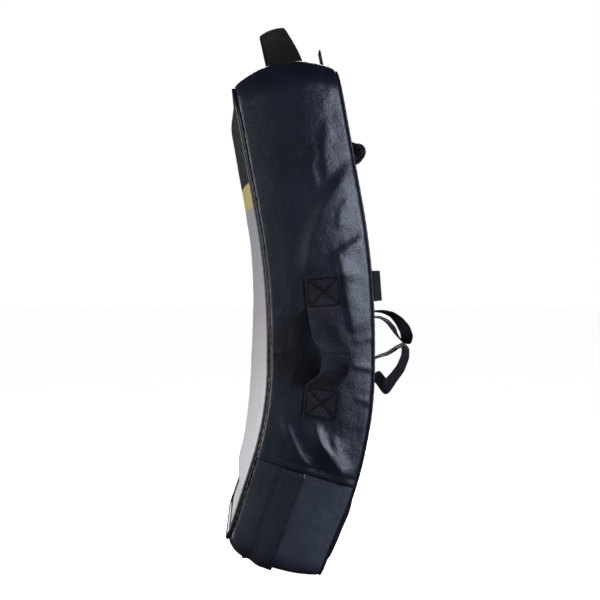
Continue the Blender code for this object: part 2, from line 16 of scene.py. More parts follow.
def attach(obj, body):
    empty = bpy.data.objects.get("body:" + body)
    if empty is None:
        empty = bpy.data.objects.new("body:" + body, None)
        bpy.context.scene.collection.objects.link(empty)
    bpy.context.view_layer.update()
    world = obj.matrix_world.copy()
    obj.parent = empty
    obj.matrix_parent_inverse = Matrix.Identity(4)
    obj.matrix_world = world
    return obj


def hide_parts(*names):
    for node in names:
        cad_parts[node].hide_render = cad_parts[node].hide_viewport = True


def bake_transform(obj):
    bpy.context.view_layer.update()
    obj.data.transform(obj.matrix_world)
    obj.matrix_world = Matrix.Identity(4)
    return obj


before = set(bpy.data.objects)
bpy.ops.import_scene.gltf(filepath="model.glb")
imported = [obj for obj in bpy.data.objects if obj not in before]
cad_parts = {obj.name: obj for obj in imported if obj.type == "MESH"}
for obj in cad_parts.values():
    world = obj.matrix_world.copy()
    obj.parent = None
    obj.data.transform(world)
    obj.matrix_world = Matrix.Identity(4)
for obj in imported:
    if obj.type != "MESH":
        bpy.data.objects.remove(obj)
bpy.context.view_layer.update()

# ---- shield space

HALF_W = 0.175
HALF_T = 0.075
FLAT = 0.032
UPPER_RADIUS, UPPER_LEAN = 1.063, math.radians(10.3)
LOWER_RADIUS, LOWER_LEAN = 0.522, math.radians(20.5)
S_TOP = FLAT / 2 + UPPER_RADIUS * UPPER_LEAN + 0.195
S_BOTTOM = -(FLAT / 2 + LOWER_RADIUS * LOWER_LEAN + 0.112)
S_SEAM = -0.173
TOP_DOME, BOTTOM_DOME = 0.0150, 0.0015
TOE_TAPER, TOE_LIFT = 0.055, 0.005
TOE_RISE, TOE_START = 0.012, 0.045
SIDE_CROWN = 0.003
TOP_CORNER, BOTTOM_CORNER = 0.040, 0.018
CROWN_BASE, CROWN_BEND, CROWN_BEND_S, CROWN_SPREAD = 0.013, 0.012, -0.045, 0.150


def smooth(t):
    """0 to 1 with flat ends."""
    t = np.clip(t, 0.0, 1.0)
    return t * t * (3 - 2 * t)


def hump(t):
    """A bell of height 1 and half breadth about 1."""
    return np.exp(-np.square(t))


def spine(s):
    """Middle line: y, z and lean at s."""
    s = np.asarray(s, float)
    u = np.maximum(np.abs(s) - FLAT / 2, 0.0)
    radius = np.where(s > 0, UPPER_RADIUS, LOWER_RADIUS)
    turn = np.minimum(u / radius, np.where(s > 0, UPPER_LEAN, LOWER_LEAN))
    rest = u - radius * turn
    y = -HALF_T - radius * (1 - np.cos(turn)) - rest * np.sin(turn)
    z = np.minimum(np.abs(s), FLAT / 2) + radius * np.sin(turn) + rest * np.cos(turn)
    return y, np.where(s > 0, z, -z), np.where(s > 0, turn, -turn)


def place(s, n, x):
    y, z, turn = spine(s)
    s, n, x = np.broadcast_arrays(s, n, x)
    n = n * (1 - TOE_TAPER * smooth((-0.170 - s) / 0.130))
    return np.stack([x + 0 * y, y + n * np.cos(turn), z + n * np.sin(turn)], -1)


def up_at(s):
    turn = float(spine(s)[2])
    return Vector((0, -math.sin(turn), math.cos(turn)))


def back_at(s):
    turn = float(spine(s)[2])
    return Vector((0, math.cos(turn), math.sin(turn)))


def bulge(n):
    return 1 - (n / HALF_T) ** 2


def top_s(n):
    return S_TOP + TOP_DOME * bulge(n)


def bottom_s(n):
    toe = np.maximum(0.0, (-n - TOE_START) / (HALF_T - TOE_START))
    lift = TOE_LIFT * (1 + 0.8 * n / HALF_T)
    return S_BOTTOM + lift - BOTTOM_DOME * bulge(n) + TOE_RISE * toe * toe


def half_width(n):
    return HALF_W + SIDE_CROWN * bulge(n)


def crown(s, share):
    """How far the strike face stands out."""
    height = CROWN_BASE + CROWN_BEND * hump((s - CROWN_BEND_S) / CROWN_SPREAD)
    fade = smooth((S_TOP - s) / 0.050) * smooth((s + 0.262) / 0.060)
    return height * fade * (1 - np.abs(share) ** 2.2)


# ---- mesh helpers

def fractal(points, scale, seed, octaves=3):
    """Smooth noise of about -1 to 1 at each point."""
    flat = np.asarray(points, float).reshape(-1, 3) * scale + seed
    values = [noise.fractal(p, 0.9, 2.0, octaves) for p in flat]
    return np.array(values).reshape(np.asarray(points).shape[:-1])


def new_object(name, mesh, materials=()):
    made = bpy.data.objects.new(name, mesh)
    bpy.context.scene.collection.objects.link(made)
    for one in materials:
        mesh.materials.append(one)
    return made


def grid_mesh(name, points, wrap=False, extra=None, flip=False):
    """A surface of rows by columns of points, with a UV map of metres. wrap closes the
    columns into a tube; extra is a dict of values for each point."""
    points = np.asarray(points, float)
    rows, cols = points.shape[:2]
    mesh = bpy.data.meshes.new(name)
    last = cols if wrap else cols - 1
    i, j = np.meshgrid(np.arange(rows - 1), np.arange(last), indexing="ij")
    i, j = i.ravel(), j.ravel()
    k = (j + 1) % cols
    quads = np.stack([i * cols + j, i * cols + k, (i + 1) * cols + k, (i + 1) * cols + j], 1)
    if flip:
        quads = quads[:, ::-1]
    mesh.from_pydata(points.reshape(-1, 3).tolist(), [], quads.tolist())
    closed = np.concatenate([points, points[:, :1]], 1) if wrap else points
    across = np.linalg.norm(np.diff(closed, axis=1), axis=2).mean(0)
    along = np.linalg.norm(np.diff(points, axis=0), axis=2).mean(1)
    u = np.concatenate([[0], np.cumsum(across)])
    v = np.concatenate([[0], np.cumsum(along)])
    u -= u[-1] / 2
    uv = np.stack([np.stack([u[j], v[i]], 1), np.stack([u[j + 1], v[i]], 1),
                   np.stack([u[j + 1], v[i + 1]], 1), np.stack([u[j], v[i + 1]], 1)], 1)
    if flip:
        uv = uv[:, ::-1]
    layer = mesh.uv_layers.new(name="cloth")
    layer.data.foreach_set("uv", uv.ravel())
    for key, values in (extra or {}).items():
        attribute = mesh.attributes.new(key, "FLOAT", "POINT")
        attribute.data.foreach_set("value", np.asarray(values, float).ravel())
    mesh.shade_smooth()
    return mesh


def rework(mesh, step):
    """Changes a mesh by one step of bmesh work, and turns its faces outwards."""
    work = bmesh.new()
    work.from_mesh(mesh)
    step(work)
    bmesh.ops.recalc_face_normals(work, faces=work.faces)
    work.to_mesh(mesh)
    work.free()
    return mesh


def lengths(path):
    """Distance along a path to each of its points."""
    return np.concatenate([[0], np.cumsum(np.linalg.norm(np.diff(path, axis=0), axis=1))])


def join(name, objects):
    """One object of several, each keeping its materials."""
    bpy.ops.object.select_all(action="DESELECT")
    for one in objects:
        one.select_set(True)
    bpy.context.view_layer.objects.active = objects[0]
    bpy.ops.object.join()
    objects[0].name = name
    objects[0].data.name = name
    return objects[0]


def thicken(made, thickness):
    """Gives a surface the thickness of its cloth, turned inwards, and closes its edges."""
    solid = made.modifiers.new("Cloth thickness", "SOLIDIFY")
    solid.thickness = thickness
    solid.offset = -1.0
    graph = bpy.context.evaluated_depsgraph_get()
    mesh = bpy.data.meshes.new_from_object(made.evaluated_get(graph))
    made.modifiers.clear()
    made.data = mesh
    return made


# ---- materials

class Shader:
    """A Principled material and the nodes that feed it."""

    def __init__(self, name, **sockets):
        self.material = bpy.data.materials.new(name)
        self.material.use_nodes = True
        self.tree = self.material.node_tree
        self.principled = self.tree.nodes["Principled BSDF"]
        for key, value in sockets.items():
            self.principled.inputs[key.replace("_", " ")].default_value = value

    def node(self, kind, *links, out=0, **settings):
        made = self.tree.nodes.new("ShaderNode" + kind)
        for key, value in settings.items():
            if hasattr(made, key):
                setattr(made, key, value)
            else:
                made.inputs[key.replace("_", " ")].default_value = value
        for index, source in enumerate(links):
            if isinstance(source, (int, float)):
                made.inputs[index].default_value = source
            elif source is not None:
                self.tree.links.new(source, made.inputs[index])
        return made.outputs[out]

    def math(self, operation, *sources):
        return self.node("Math", *sources, operation=operation)

    def places(self, scale=(1, 1, 1)):
        """The piece's own coordinates, in metres."""
        own = self.tree.nodes.new("ShaderNodeTexCoord").outputs["Object"]
        return self.node("Mapping", own, Scale=scale)

    def value(self, name):
        return self.node("Attribute", attribute_name=name, out=2)

    def noise(self, where, scale, detail=3.0, rough=0.5):
        return self.node("TexNoise", where, Scale=scale, Detail=detail, Roughness=rough)

    def between(self, source, low, high, from_low=0.0, from_high=1.0):
        return self.node("MapRange", source, From_Min=from_low, From_Max=from_high,
                         To_Min=low, To_Max=high)

    def blend(self, share, a, b):
        made = self.tree.nodes.new("ShaderNodeMix")
        made.data_type = "RGBA"
        for socket, source in ((made.inputs[0], share), (made.inputs[6], a), (made.inputs[7], b)):
            if isinstance(source, bpy.types.NodeSocket):
                self.tree.links.new(source, socket)
            else:
                socket.default_value = (*source, 1) if isinstance(source, tuple) else source
        return made.outputs[2]

    def bump(self, height, distance, strength=1.0, under=None):
        made = self.tree.nodes.new("ShaderNodeBump")
        made.inputs["Strength"].default_value = strength
        made.inputs["Distance"].default_value = distance
        self.tree.links.new(height, made.inputs["Height"])
        if under is not None:
            self.tree.links.new(under, made.inputs["Normal"])
        return made.outputs["Normal"]

    def feed(self, **sources):
        for key, source in sources.items():
            self.tree.links.new(source, self.principled.inputs[key.replace("_", " ")])
        return self.material


def coated_cloth(name, dark, light, rough_low, rough_high, level):
    """Polyurethane coated cloth: fine grain, soft unevenness, scuffs and worn edges."""
    made = Shader(name, Specular_IOR_Level=level)
    where = made.places()
    cloud = made.noise(where, 9.0, 4.0, 0.6)
    grain = made.noise(where, 950.0, 3.0, 0.6)
    pores = made.node("TexVoronoi", where, Scale=620.0)
    streaks = made.noise(made.places((14, 14, 260)), 1.0, 4.0, 0.7)
    scuffs = made.between(streaks, 0.0, 1.0, 0.63, 0.78)
    wear = made.math("MULTIPLY", made.value("wear"), made.between(cloud, 0.4, 1.4))
    shade = made.between(cloud, 0.0, 1.0, 0.3, 0.72)
    colour = made.blend(shade, dark, light)
    worn = made.math("MULTIPLY", made.math("ADD", made.math("MULTIPLY", scuffs, 0.25), wear), 0.5)
    colour = made.blend(worn, colour, tuple(min(1.0, 1.8 * c + 0.02) for c in light))
    rough = made.between(cloud, rough_low, rough_high, 0.25, 0.75)
    rough = made.math("ADD", rough, made.math("MULTIPLY", scuffs, 0.10))
    height = made.math("ADD", made.math("MULTIPLY", pores, 0.6), grain)
    fine = made.bump(height, 0.00024, 0.75)
    soft = made.bump(made.noise(where, 46.0, 5.0, 0.62), 0.0026, 0.42, fine)
    return made.feed(Base_Color=colour, Roughness=rough, Normal=soft)


def strike_face():
    """Printed vinyl of the strike face: bands at the top over a pale field, painted mid grey
    towards the top as painted shade and near white towards the bottom as a painted reflection.
    """
    made = Shader("strike_vinyl", Specular_IOR_Level=0.45, Sheen_Weight=0.15)
    where = made.places()
    level = made.value("level")
    cloud = made.noise(where, 7.0, 4.0, 0.6)
    # Painted light: the field's colour follows the height, near white at the bottom as a painted
    # reflection of the pale surroundings and mid grey higher up as painted shade.
    shade_and_reflection_ramp = made.node("ValToRGB", made.between(level, 0.0, 1.0, -0.32, 0.41))
    elements = shade_and_reflection_ramp.node.color_ramp.elements
    stops = [(0.0, (0.80, 0.80, 0.84)), (0.30, (0.74, 0.73, 0.77)), (0.52, (0.42, 0.39, 0.41)),
             (0.70, (0.33, 0.33, 0.37))]
    while len(elements) < len(stops):
        elements.new(0.5)
    for element, (at, colour) in zip(elements, stops):
        element.position = at
        element.color = (*colour, 1)
    field = made.blend(made.between(cloud, 0.0, 0.20), shade_and_reflection_ramp, (0.62, 0.62, 0.66))
    printed = made.blend(made.between(level, 0.0, 1.0, 0.2250, 0.2262), field, (0.56, 0.48, 0.18))
    printed = made.blend(made.between(level, 0.0, 1.0, 0.2600, 0.2612), printed,
                         (0.010, 0.011, 0.015))
    marks = made.noise(made.places((40, 40, 9)), 1.0, 5.0, 0.7)
    scuffs = made.between(marks, 0.0, 0.35, 0.60, 0.80)
    printed = made.blend(scuffs, printed, (0.22, 0.21, 0.22))
    rough = made.between(cloud, 0.36, 0.50, 0.25, 0.75)
    fine = made.bump(made.noise(where, 800.0, 3.0, 0.6), 0.00014, 0.5)
    soft = made.bump(made.noise(where, 26.0, 3.0, 0.5), 0.0020, 0.30, fine)
    return made.feed(Base_Color=printed, Roughness=rough, Normal=soft)


def webbing_cloth(name, dark, light, rib=0.0030, thread=0.0015, slant=0.30):
    """Woven webbing: ribs across it, threads along it, and selvedges painted paler as a painted
    highlight.
    """
    made = Shader(name, Specular_IOR_Level=0.22, Sheen_Weight=0.06, Sheen_Roughness=0.5)
    uv = made.node("UVMap", uv_map="cloth")
    parts = made.tree.nodes.new("ShaderNodeSeparateXYZ")
    made.tree.links.new(uv, parts.inputs[0])
    across, along = parts.outputs[0], parts.outputs[1]
    rows = made.math("ADD", along, made.math("MULTIPLY", across, slant))
    rows = made.math("DIVIDE", rows, rib)
    ribs = made.math("ABSOLUTE", made.math("SINE", made.math("MULTIPLY", rows, math.pi)))
    offset = made.math("MULTIPLY", made.math("FLOOR", rows), 0.5)
    strands = made.math("ADD", made.math("DIVIDE", across, thread), offset)
    strands = made.math("ABSOLUTE", made.math("SINE", made.math("MULTIPLY", strands, math.pi)))
    height = made.math("ADD", ribs, made.math("MULTIPLY", strands, 0.35))
    where = made.places()
    cloud = made.noise(where, 40.0, 4.0, 0.6)
    fuzz = made.noise(where, 1500.0, 2.0, 0.6)
    edge = made.value("edge")
    share = made.math("MULTIPLY", made.between(height, 0.0, 1.0, 0.35, 1.25),
                      made.between(cloud, 0.45, 1.15, 0.3, 0.7))
    # The selvedge mask lightens the colour at both edges: a painted highlight.
    share = made.math("ADD", share, made.math("MULTIPLY", edge, 0.12))
    # Sunk seams and fold creases are darkened nearly to black: painted shade.
    share = made.math("MULTIPLY", share, made.between(made.value("seam_shade"), 1.0, 0.02, 0.05, 0.75))
    colour = made.blend(share, dark, light)
    rough = made.between(fuzz, 0.66, 0.92)
    coarse = made.bump(height, 0.00090, 1.0)
    fine = made.bump(fuzz, 0.00012, 0.5, coarse)
    return made.feed(Base_Color=colour, Roughness=rough, Normal=fine)


def plain_cloth(name, dark, light, rough, bump, scale, level=0.3, metallic=0.0):
    made = Shader(name, Specular_IOR_Level=level, Metallic=metallic)
    where = made.places()
    cloud = made.noise(where, scale * 0.05, 4.0, 0.6)
    fine = made.noise(where, scale, 3.0, 0.7)
    colour = made.blend(made.math("MULTIPLY", cloud, made.between(fine, 0.5, 1.5)), dark, light)
    height = made.bump(fine, bump, 0.8)
    return made.feed(Base_Color=colour, Roughness=made.between(fine, rough - 0.1, rough + 0.08),
                     Normal=height)


COVER = coated_cloth("cover_vinyl", (0.0060, 0.0092, 0.0160), (0.0115, 0.0160, 0.0270),
                     0.30, 0.42, 0.50)
BOOT = coated_cloth("boot_vinyl", (0.0130, 0.0155, 0.0235), (0.0210, 0.0245, 0.0350),
                    0.32, 0.46, 0.48)
BOOT_REAR = coated_cloth("boot_rear_vinyl", (0.0330, 0.0380, 0.0560), (0.0500, 0.0570, 0.0780),
                         0.34, 0.48, 0.50)
FACE = strike_face()
# The side and end handles take lit and shaded copies of one webbing: the side handles' is paler as
# painted light, the end handles' near black as painted shade.
WEBBING = webbing_cloth("webbing", (0.0030, 0.0031, 0.0040), (0.0240, 0.0243, 0.0295))
LIT_HANDLE_WEBBING = webbing_cloth("lit_handle_webbing", (0.0022, 0.0024, 0.0034), (0.0440, 0.0460, 0.0600))
SHADED_END_WEBBING = webbing_cloth("shaded_end_webbing", (0.0004, 0.0004, 0.0004), (0.0026, 0.0025, 0.0025))
NARROW = webbing_cloth("narrow_webbing", (0.0030, 0.0031, 0.0040), (0.0170, 0.0170, 0.0205),
                       0.0020, 0.0010, 0.0)
THREAD = plain_cloth("thread", (0.0012, 0.0012, 0.0016), (0.0060, 0.0060, 0.0075), 0.62,
                     0.0001, 3000)
PIPING = plain_cloth("piping_vinyl", (0.006, 0.006, 0.008), (0.014, 0.014, 0.018), 0.38,
                     0.00015, 900, 0.45)
TAPE = plain_cloth("tape_cloth", (0.006, 0.006, 0.008), (0.022, 0.022, 0.025), 0.85,
                   0.0004, 1600)
COIL = plain_cloth("coil_plastic", (0.010, 0.010, 0.011), (0.022, 0.022, 0.024), 0.40,
                   0.0001, 1200, 0.5)
METAL = plain_cloth("slider_metal", (0.05, 0.05, 0.055), (0.16, 0.16, 0.17), 0.38,
                    0.0001, 1500, 0.5, 1.0)
STRIKE_FOAM = plain_cloth("strike_foam_cells", (0.05, 0.05, 0.055), (0.13, 0.13, 0.14), 0.90,
                          0.0008, 500)
CORE_FOAM = plain_cloth("core_foam_cells", (0.60, 0.60, 0.56), (0.80, 0.80, 0.77), 0.90,
                        0.0010, 350)
BACK_FOAM = plain_cloth("back_foam_cells", (0.42, 0.45, 0.50), (0.62, 0.65, 0.70), 0.90,
                        0.0012, 280)

# ---- the wall

PANEL_INSET = 0.0034
EDGE_N = HALF_T - 0.0022
PUFF, PUFF_POWER = 0.0075, 2.5
ZIP_N, COIL_HALF = -0.012, 0.003
FLAP_FRONT, FLAP_REAR = -0.043, 0.002
BOOT_FRONT_END, BOOT_REAR_START = -0.0285, -0.0010


def half_outline(n, main, start, pitch):
    """Half of the wall's outline at depth n, from s = start on the right to the middle of
    the end: x, s and the outward direction."""
    sign = 1 if main else -1
    radius = TOP_CORNER if main else BOTTOM_CORNER
    end = float(top_s(n) if main else bottom_s(n))
    level_end = S_TOP if main else S_BOTTOM
    centre = end - sign * radius
    reach = float(half_width(n)) - radius
    sides = max(2, round(abs(level_end - start) / pitch))
    turns = max(6, round(radius * math.pi / 2 / pitch))
    flats = max(2, round((HALF_W - radius) / pitch))
    rise = np.linspace(start, centre, sides + 1)[:-1]
    angle = np.linspace(0, math.pi / 2, turns + 1)[:-1]
    run = np.linspace(reach, 0, flats + 1)
    x = np.concatenate([np.full(sides, reach + radius), reach + radius * np.cos(angle), run])
    s = np.concatenate([rise, centre + sign * radius * np.sin(angle), np.full(flats + 1, end)])
    out_x = np.concatenate([np.ones(sides), np.cos(angle), np.zeros(flats + 1)])
    out_s = sign * np.concatenate([np.zeros(sides), np.sin(angle), np.ones(flats + 1)])
    return x, s, out_x, out_s


def outline(n, main, start, pitch=0.004):
    """The wall's outline at depth n, from the right over the end to the left."""
    x, s, out_x, out_s = half_outline(n, main, start, pitch)
    return (np.concatenate([x, -x[-2::-1]]), np.concatenate([s, s[-2::-1]]),
            np.concatenate([out_x, -out_x[-2::-1]]), np.concatenate([out_s, out_s[-2::-1]]))


def puff(n):
    """How far the padded wall swells between its two seams."""
    return PUFF * (1 - np.abs(n / HALF_T) ** PUFF_POWER)


def wall_grid(depths, main, start):
    """Points of the wall, rows along the outline by columns of n, and what shapes them."""
    stack = [outline(float(n), main, start) for n in depths]
    x, s, out_x, out_s = (np.stack(one, 1) for one in zip(*stack))
    n = np.broadcast_to(np.asarray(depths, float), x.shape)
    return {"x": x, "s": s, "n": n, "out_x": out_x, "out_s": out_s, "out": puff(n)}


def wall_points(grid):
    return place(grid["s"] + grid["out_s"] * grid["out"], grid["n"],
                 grid["x"] + grid["out_x"] * grid["out"])


# ---- cover

def ridge(s, n, line, height, low, high):
    """A fold of the cloth along a line of (s, n) places. low and high are its spreads
    towards the strike face and towards the back."""
    steps = [math.dist(a, b) for a, b in zip(line, line[1:])]
    total, done = sum(steps), 0.0
    nearest = np.full(s.shape, 9.0)
    out = np.zeros(s.shape)
    for (a, b), step in zip(zip(line, line[1:]), steps):
        ds, dn = (b[0] - a[0]) / step, (b[1] - a[1]) / step
        t = np.clip((s - a[0]) * ds + (n - a[1]) * dn, 0, step)
        off_s, off_n = s - a[0] - t * ds, n - a[1] - t * dn
        away = np.hypot(off_s, off_n)
        spread = np.where(off_n > 0, high, low)
        along = (done + t) / total
        shape = 1 / np.cosh(1.9 * away / spread)
        value = height * shape * smooth(along / 0.25) * smooth((1 - along) / 0.2)
        closer = away < nearest
        out = np.where(closer, value, out)
        nearest = np.where(closer, away, nearest)
        done += step
    return out


# Folds of the right wall: places along each fold, height, and spread to each side
PULLS = (
    (((0.270, 0.076), (0.246, 0.058), (0.203, 0.016), (0.163, -0.006), (0.100, -0.024)),
     0.0052, 0.010, 0.060),
    (((0.168, 0.076), (0.154, 0.064), (0.137, 0.029), (0.095, 0.030)), 0.0030, 0.006, 0.024),
    (((0.137, 0.030), (0.083, 0.034), (0.020, 0.046)), 0.0030, 0.005, 0.026),
    (((0.335, 0.050), (0.290, 0.034), (0.236, 0.030)), 0.0016, 0.006, 0.016),
    (((0.300, 0.022), (0.262, 0.010), (0.226, 0.014)), 0.0013, 0.005, 0.012),
    (((0.216, 0.060), (0.196, 0.040), (0.170, 0.034)), 0.0014, 0.004, 0.012),
    (((0.120, -0.050), (0.090, -0.040), (0.060, -0.044)), 0.0012, 0.006, 0.012),
    (((-0.094, -0.012), (-0.130, 0.012), (-0.172, 0.066)), 0.0058, 0.0120, 0.010),
    (((-0.094, -0.054), (-0.126, -0.036), (-0.150, -0.018), (-0.168, 0.006)),
     0.0036, 0.0085, 0.008),
    (((-0.110, 0.020), (-0.140, 0.040), (-0.165, 0.072)), 0.0018, 0.006, 0.010),
    (((0.017, 0.040), (0.024, 0.078)), 0.0018, 0.0035, 0.004),
    (((-0.016, 0.038), (-0.023, 0.078)), 0.0020, 0.0035, 0.004),
    (((-0.060, 0.046), (-0.066, 0.078)), 0.0014, 0.003, 0.004),
    (((-0.002, -0.050), (0.004, -0.078)), 0.0010, 0.003, 0.004),
    (((0.052, -0.052), (0.060, -0.078)), 0.0010, 0.003, 0.004),
)


def wall_folds(grid):
    """Folds, soft dents and puckers of the padded wall, added to how far it stands out."""
    s, n = grid["s"], grid["n"]
    on_side = smooth(np.abs(grid["out_x"]) * 1.6 - 0.5)
    right = grid["x"] > 0
    out = np.zeros(s.shape)
    for i, (line, height, low, high) in enumerate(PULLS):
        out += ridge(s, n, line, height, low, high) * right
        moved = [(a + 0.012 * (-1) ** i, b * 0.92) for a, b in line]
        out += ridge(s, n, moved, height * 0.85, high * 0.8, low * 1.1) * (1 - right)
    out *= on_side
    points = wall_points(grid)
    inside = smooth((HALF_T - np.abs(n)) / 0.020)
    out += 0.0013 * fractal(points, 9.0, 3.1) * inside
    out += 0.00035 * fractal(points, 42.0, 7.7) * inside
    rim = hump((HALF_T - np.abs(n)) / 0.0065)
    out += 0.0007 * fractal(points, 95.0, 5.3, 2) * rim
    return out


def wear_near(distance, spread=0.006):
    """Wear of the coating close to an edge."""
    return 0.45 * hump(distance / spread)


def cloth_piece(name, points, wear, material, thickness=0.0012, facing=None, **more):
    """A cut of the cover with its thickness turned inwards."""
    middle = points[points.shape[0] // 2, points.shape[1] // 2]
    a = points[points.shape[0] // 2 + 1, points.shape[1] // 2] - middle
    b = points[points.shape[0] // 2, points.shape[1] // 2 + 1] - middle
    flip = np.dot(np.cross(b, a), facing) < 0
    mesh = grid_mesh(name, points, extra={"wear": wear, **more}, flip=flip)
    made = new_object(name, mesh, [material])
    return thicken(made, thickness)


def finish_piece(made, body, slot_name, *nodes):
    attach(made, body)
    if nodes:
        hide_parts(*nodes)
    return made


def build_main_gusset():
    depths = np.concatenate([[-EDGE_N], np.linspace(-0.070, 0.070, 47), [EDGE_N]])
    grid = wall_grid(depths, True, S_SEAM)
    below = np.abs(grid["s"] - S_SEAM) + 9 * (np.abs(grid["out_x"]) < 0.99)
    grid["out"] = grid["out"] + wall_folds(grid)
    hem = 0.0016 * smooth((0.0075 - below) / 0.0015)
    groove = 0.0008 * hump((below - 0.0085) / 0.0016)
    grid["out"] = grid["out"] + hem - groove
    edge = 0.0016 * smooth((np.abs(grid["n"]) - 0.070) / 0.003)
    grid["out"] = grid["out"] - edge
    points = wall_points(grid)
    tuck = points[[0, -1]] - np.stack([grid["out_x"][[0, -1]], 0 * points[[0, -1], :, 0],
                                       0 * points[[0, -1], :, 0]], -1) * 0.0030
    points = np.concatenate([tuck[:1], points, tuck[1:]])
    on_side = smooth(np.abs(grid["out_x"]) * 2 - 0.9)
    wear = wear_near(HALF_T - np.abs(grid["n"])) * on_side + wear_near(below, 0.003)
    wear = np.concatenate([wear[:1], wear, wear[-1:]])
    return cloth_piece("main_gusset_cloth", points, wear, COVER, facing=(-1, 0, 0))


def build_boot(name, low_n, high_n, columns):
    depths = np.linspace(low_n, high_n, columns)
    grid = wall_grid(depths, False, S_SEAM + 0.006)
    grid["out"] = grid["out"] + 0.7 * wall_folds(grid) - 0.0010
    under = smooth((grid["s"] - S_SEAM) / 0.004) * (np.abs(grid["out_x"]) > 0.99)
    edge = 0.0016 * smooth((np.abs(grid["n"]) - 0.070) / 0.003)
    grid["out"] = grid["out"] - 0.0010 * under - edge
    points = wall_points(grid)
    rim = np.minimum(HALF_T - np.abs(grid["n"]), np.abs(grid["n"] - ZIP_N) + 0.004)
    return cloth_piece(name, points, wear_near(rim), BOOT if high_n < 0 else BOOT_REAR,
                       facing=(1, 0, 0))


def build_flap():
    """The strip over the zipper: sewn down along its front edge, free along the other."""
    depths = np.linspace(FLAP_FRONT - 0.004, FLAP_REAR, 26)
    grid = wall_grid(depths, False, S_SEAM - 0.0015)
    lift = smooth((grid["n"] - FLAP_FRONT - 0.002) / 0.026)
    under = np.abs(grid["out_s"])
    free = smooth((grid["n"] - FLAP_REAR + 0.012) / 0.012)
    wave = 0.0005 * np.sin(grid["s"] * 75 + grid["x"] * 60) * free
    out = -0.0004 + lift * (0.0012 + 0.0040 * under) + 0.7 * wall_folds(grid)
    out -= 0.0004 * hump((grid["n"] - FLAP_FRONT - 0.003) / 0.0014)
    out -= 0.0006 * hump((grid["n"] - FLAP_REAR + 0.005) / 0.0014) + wave
    top = smooth((0.010 + grid["s"] - S_SEAM) / 0.008) * (np.abs(grid["out_x"]) > 0.99)
    grid["out"] = grid["out"] + out - 0.0012 * top * lift
    points = wall_points(grid)
    rim = np.minimum(grid["n"] - depths[0], FLAP_REAR - grid["n"])
    return cloth_piece("zip_flap_cloth", points, wear_near(rim, 0.004), BOOT, 0.0014,
                       facing=(1, 0, 0))


def face_rows(n, inset, pitch=0.005):
    """Level and half width of each row of a face, bottom to top."""
    rows = []
    side = float(half_width(n)) - inset
    for main in (False, True):
        sign = 1 if main else -1
        radius = (TOP_CORNER if main else BOTTOM_CORNER) - inset
        end = float(top_s(n) if main else bottom_s(n)) - sign * inset
        centre = end - sign * radius
        steps = max(5, round(radius * math.pi / 2 / pitch))
        angle = np.linspace(0, math.pi / 2, steps + 1)
        arc = [(centre + sign * radius * math.sin(a), side - radius + radius * math.cos(a))
               for a in angle]
        rows.append(arc)
    low, high = rows[0][0][0], rows[1][0][0]
    count = round((high - low) / pitch)
    middle = [(s, side) for s in np.linspace(low, high, count + 1)[1:-1]]
    return rows[0][::-1] + middle + rows[1]


def face_grid(n, inset, columns):
    """Level, half width and share of that width at each point of a face."""
    rows = np.array(face_rows(n, inset))
    crowding = math.pi / 2 * 0.92
    share = np.sin(np.linspace(-1, 1, columns) * crowding) / math.sin(crowding)
    s = np.repeat(rows[:, :1], columns, 1)
    half = np.repeat(rows[:, 1:], columns, 1)
    share = np.broadcast_to(share, s.shape)
    return s, half, share


def rim_distance(s, half, share, n, inset):
    """Distance from a place on a face to the face's edge, near enough."""
    ends = np.minimum(s - float(bottom_s(n)), float(top_s(n)) - s) - inset
    return np.minimum(half * (1 - np.abs(share)), ends)


def build_face(name, front):
    n = -HALF_T if front else HALF_T
    s, half, share = face_grid(n, PANEL_INSET - 0.0008, 75)
    x = half * share
    rim = np.maximum(rim_distance(s, half, share, n, PANEL_INSET), 0)
    base = place(s, n, x)
    if front:
        rise = crown(s, share) + 0.0016 * smooth(rim / 0.020)
    else:
        low = smooth((-0.165 - s) / 0.05) * smooth((s - S_BOTTOM) / 0.05)
        rise = (0.0018 + 0.0065 * low) * smooth(rim / 0.030)
    fade = smooth(rim / 0.015)
    rise = rise + (0.0011 * fractal(base, 8.0, 11.0) + 0.0003 * fractal(base, 40.0, 4.0)) * fade
    rise = rise + 0.0006 * fractal(base, 90.0, 6.0, 2) * hump((rim - 0.004) / 0.006)
    rise = rise - 0.0022 * hump(rim / 0.0025)
    points = place(s, n - rise if front else n + rise, x)
    facing = (0, -1, 0) if front else (0, 1, 0)
    return cloth_piece(name, points, wear_near(rim, 0.008), FACE if front else COVER,
                       facing=facing, level=s)


def piping_line(n):
    """The whole outline at depth n, as one closed run."""
    upper, lower = outline(n, True, S_SEAM), outline(n, False, S_SEAM)
    return [np.concatenate([a, b[-2:0:-1]]) for a, b in zip(upper, lower)]


def build_piping(name, n):
    """A welt: a round bead on a flat sewn edge, all the way round a face."""
    x, s, out_x, out_s = piping_line(n)
    line = place(s, n, x)
    out = place(s + out_s, n, x + out_x) - line
    away = np.stack([0 * s, np.cos(spine(s)[2]), np.sin(spine(s)[2])], -1) * math.copysign(1, n)
    wobble = 0.0004 * fractal(line, 60.0, 9.0, 2)
    front = n < 0
    sunk = 0.0004 + 0.0022 * smooth((s - S_TOP + 0.060) / 0.050)
    line = line - out * sunk[:, None] + away * (0.0014 if front else -0.0004)
    line = line + out * wobble[:, None]
    angles = np.linspace(0, 2 * math.pi, 13)[:-1]
    radius = (0.0026 if front else 0.0020) + 0.00014 * np.sin(np.arange(len(s)) * 1.9)
    rows = []
    for a in angles:
        rows.append(line + (out * math.cos(a) + away * math.sin(a)) * radius[:, None])
    points = np.stack(rows, 1)
    points = np.concatenate([points, points[:1]])
    mesh = rework(grid_mesh(name, points, wrap=True),
                  lambda work: bmesh.ops.remove_doubles(work, verts=work.verts, dist=0.00002))
    return new_object(name, mesh, [PIPING])


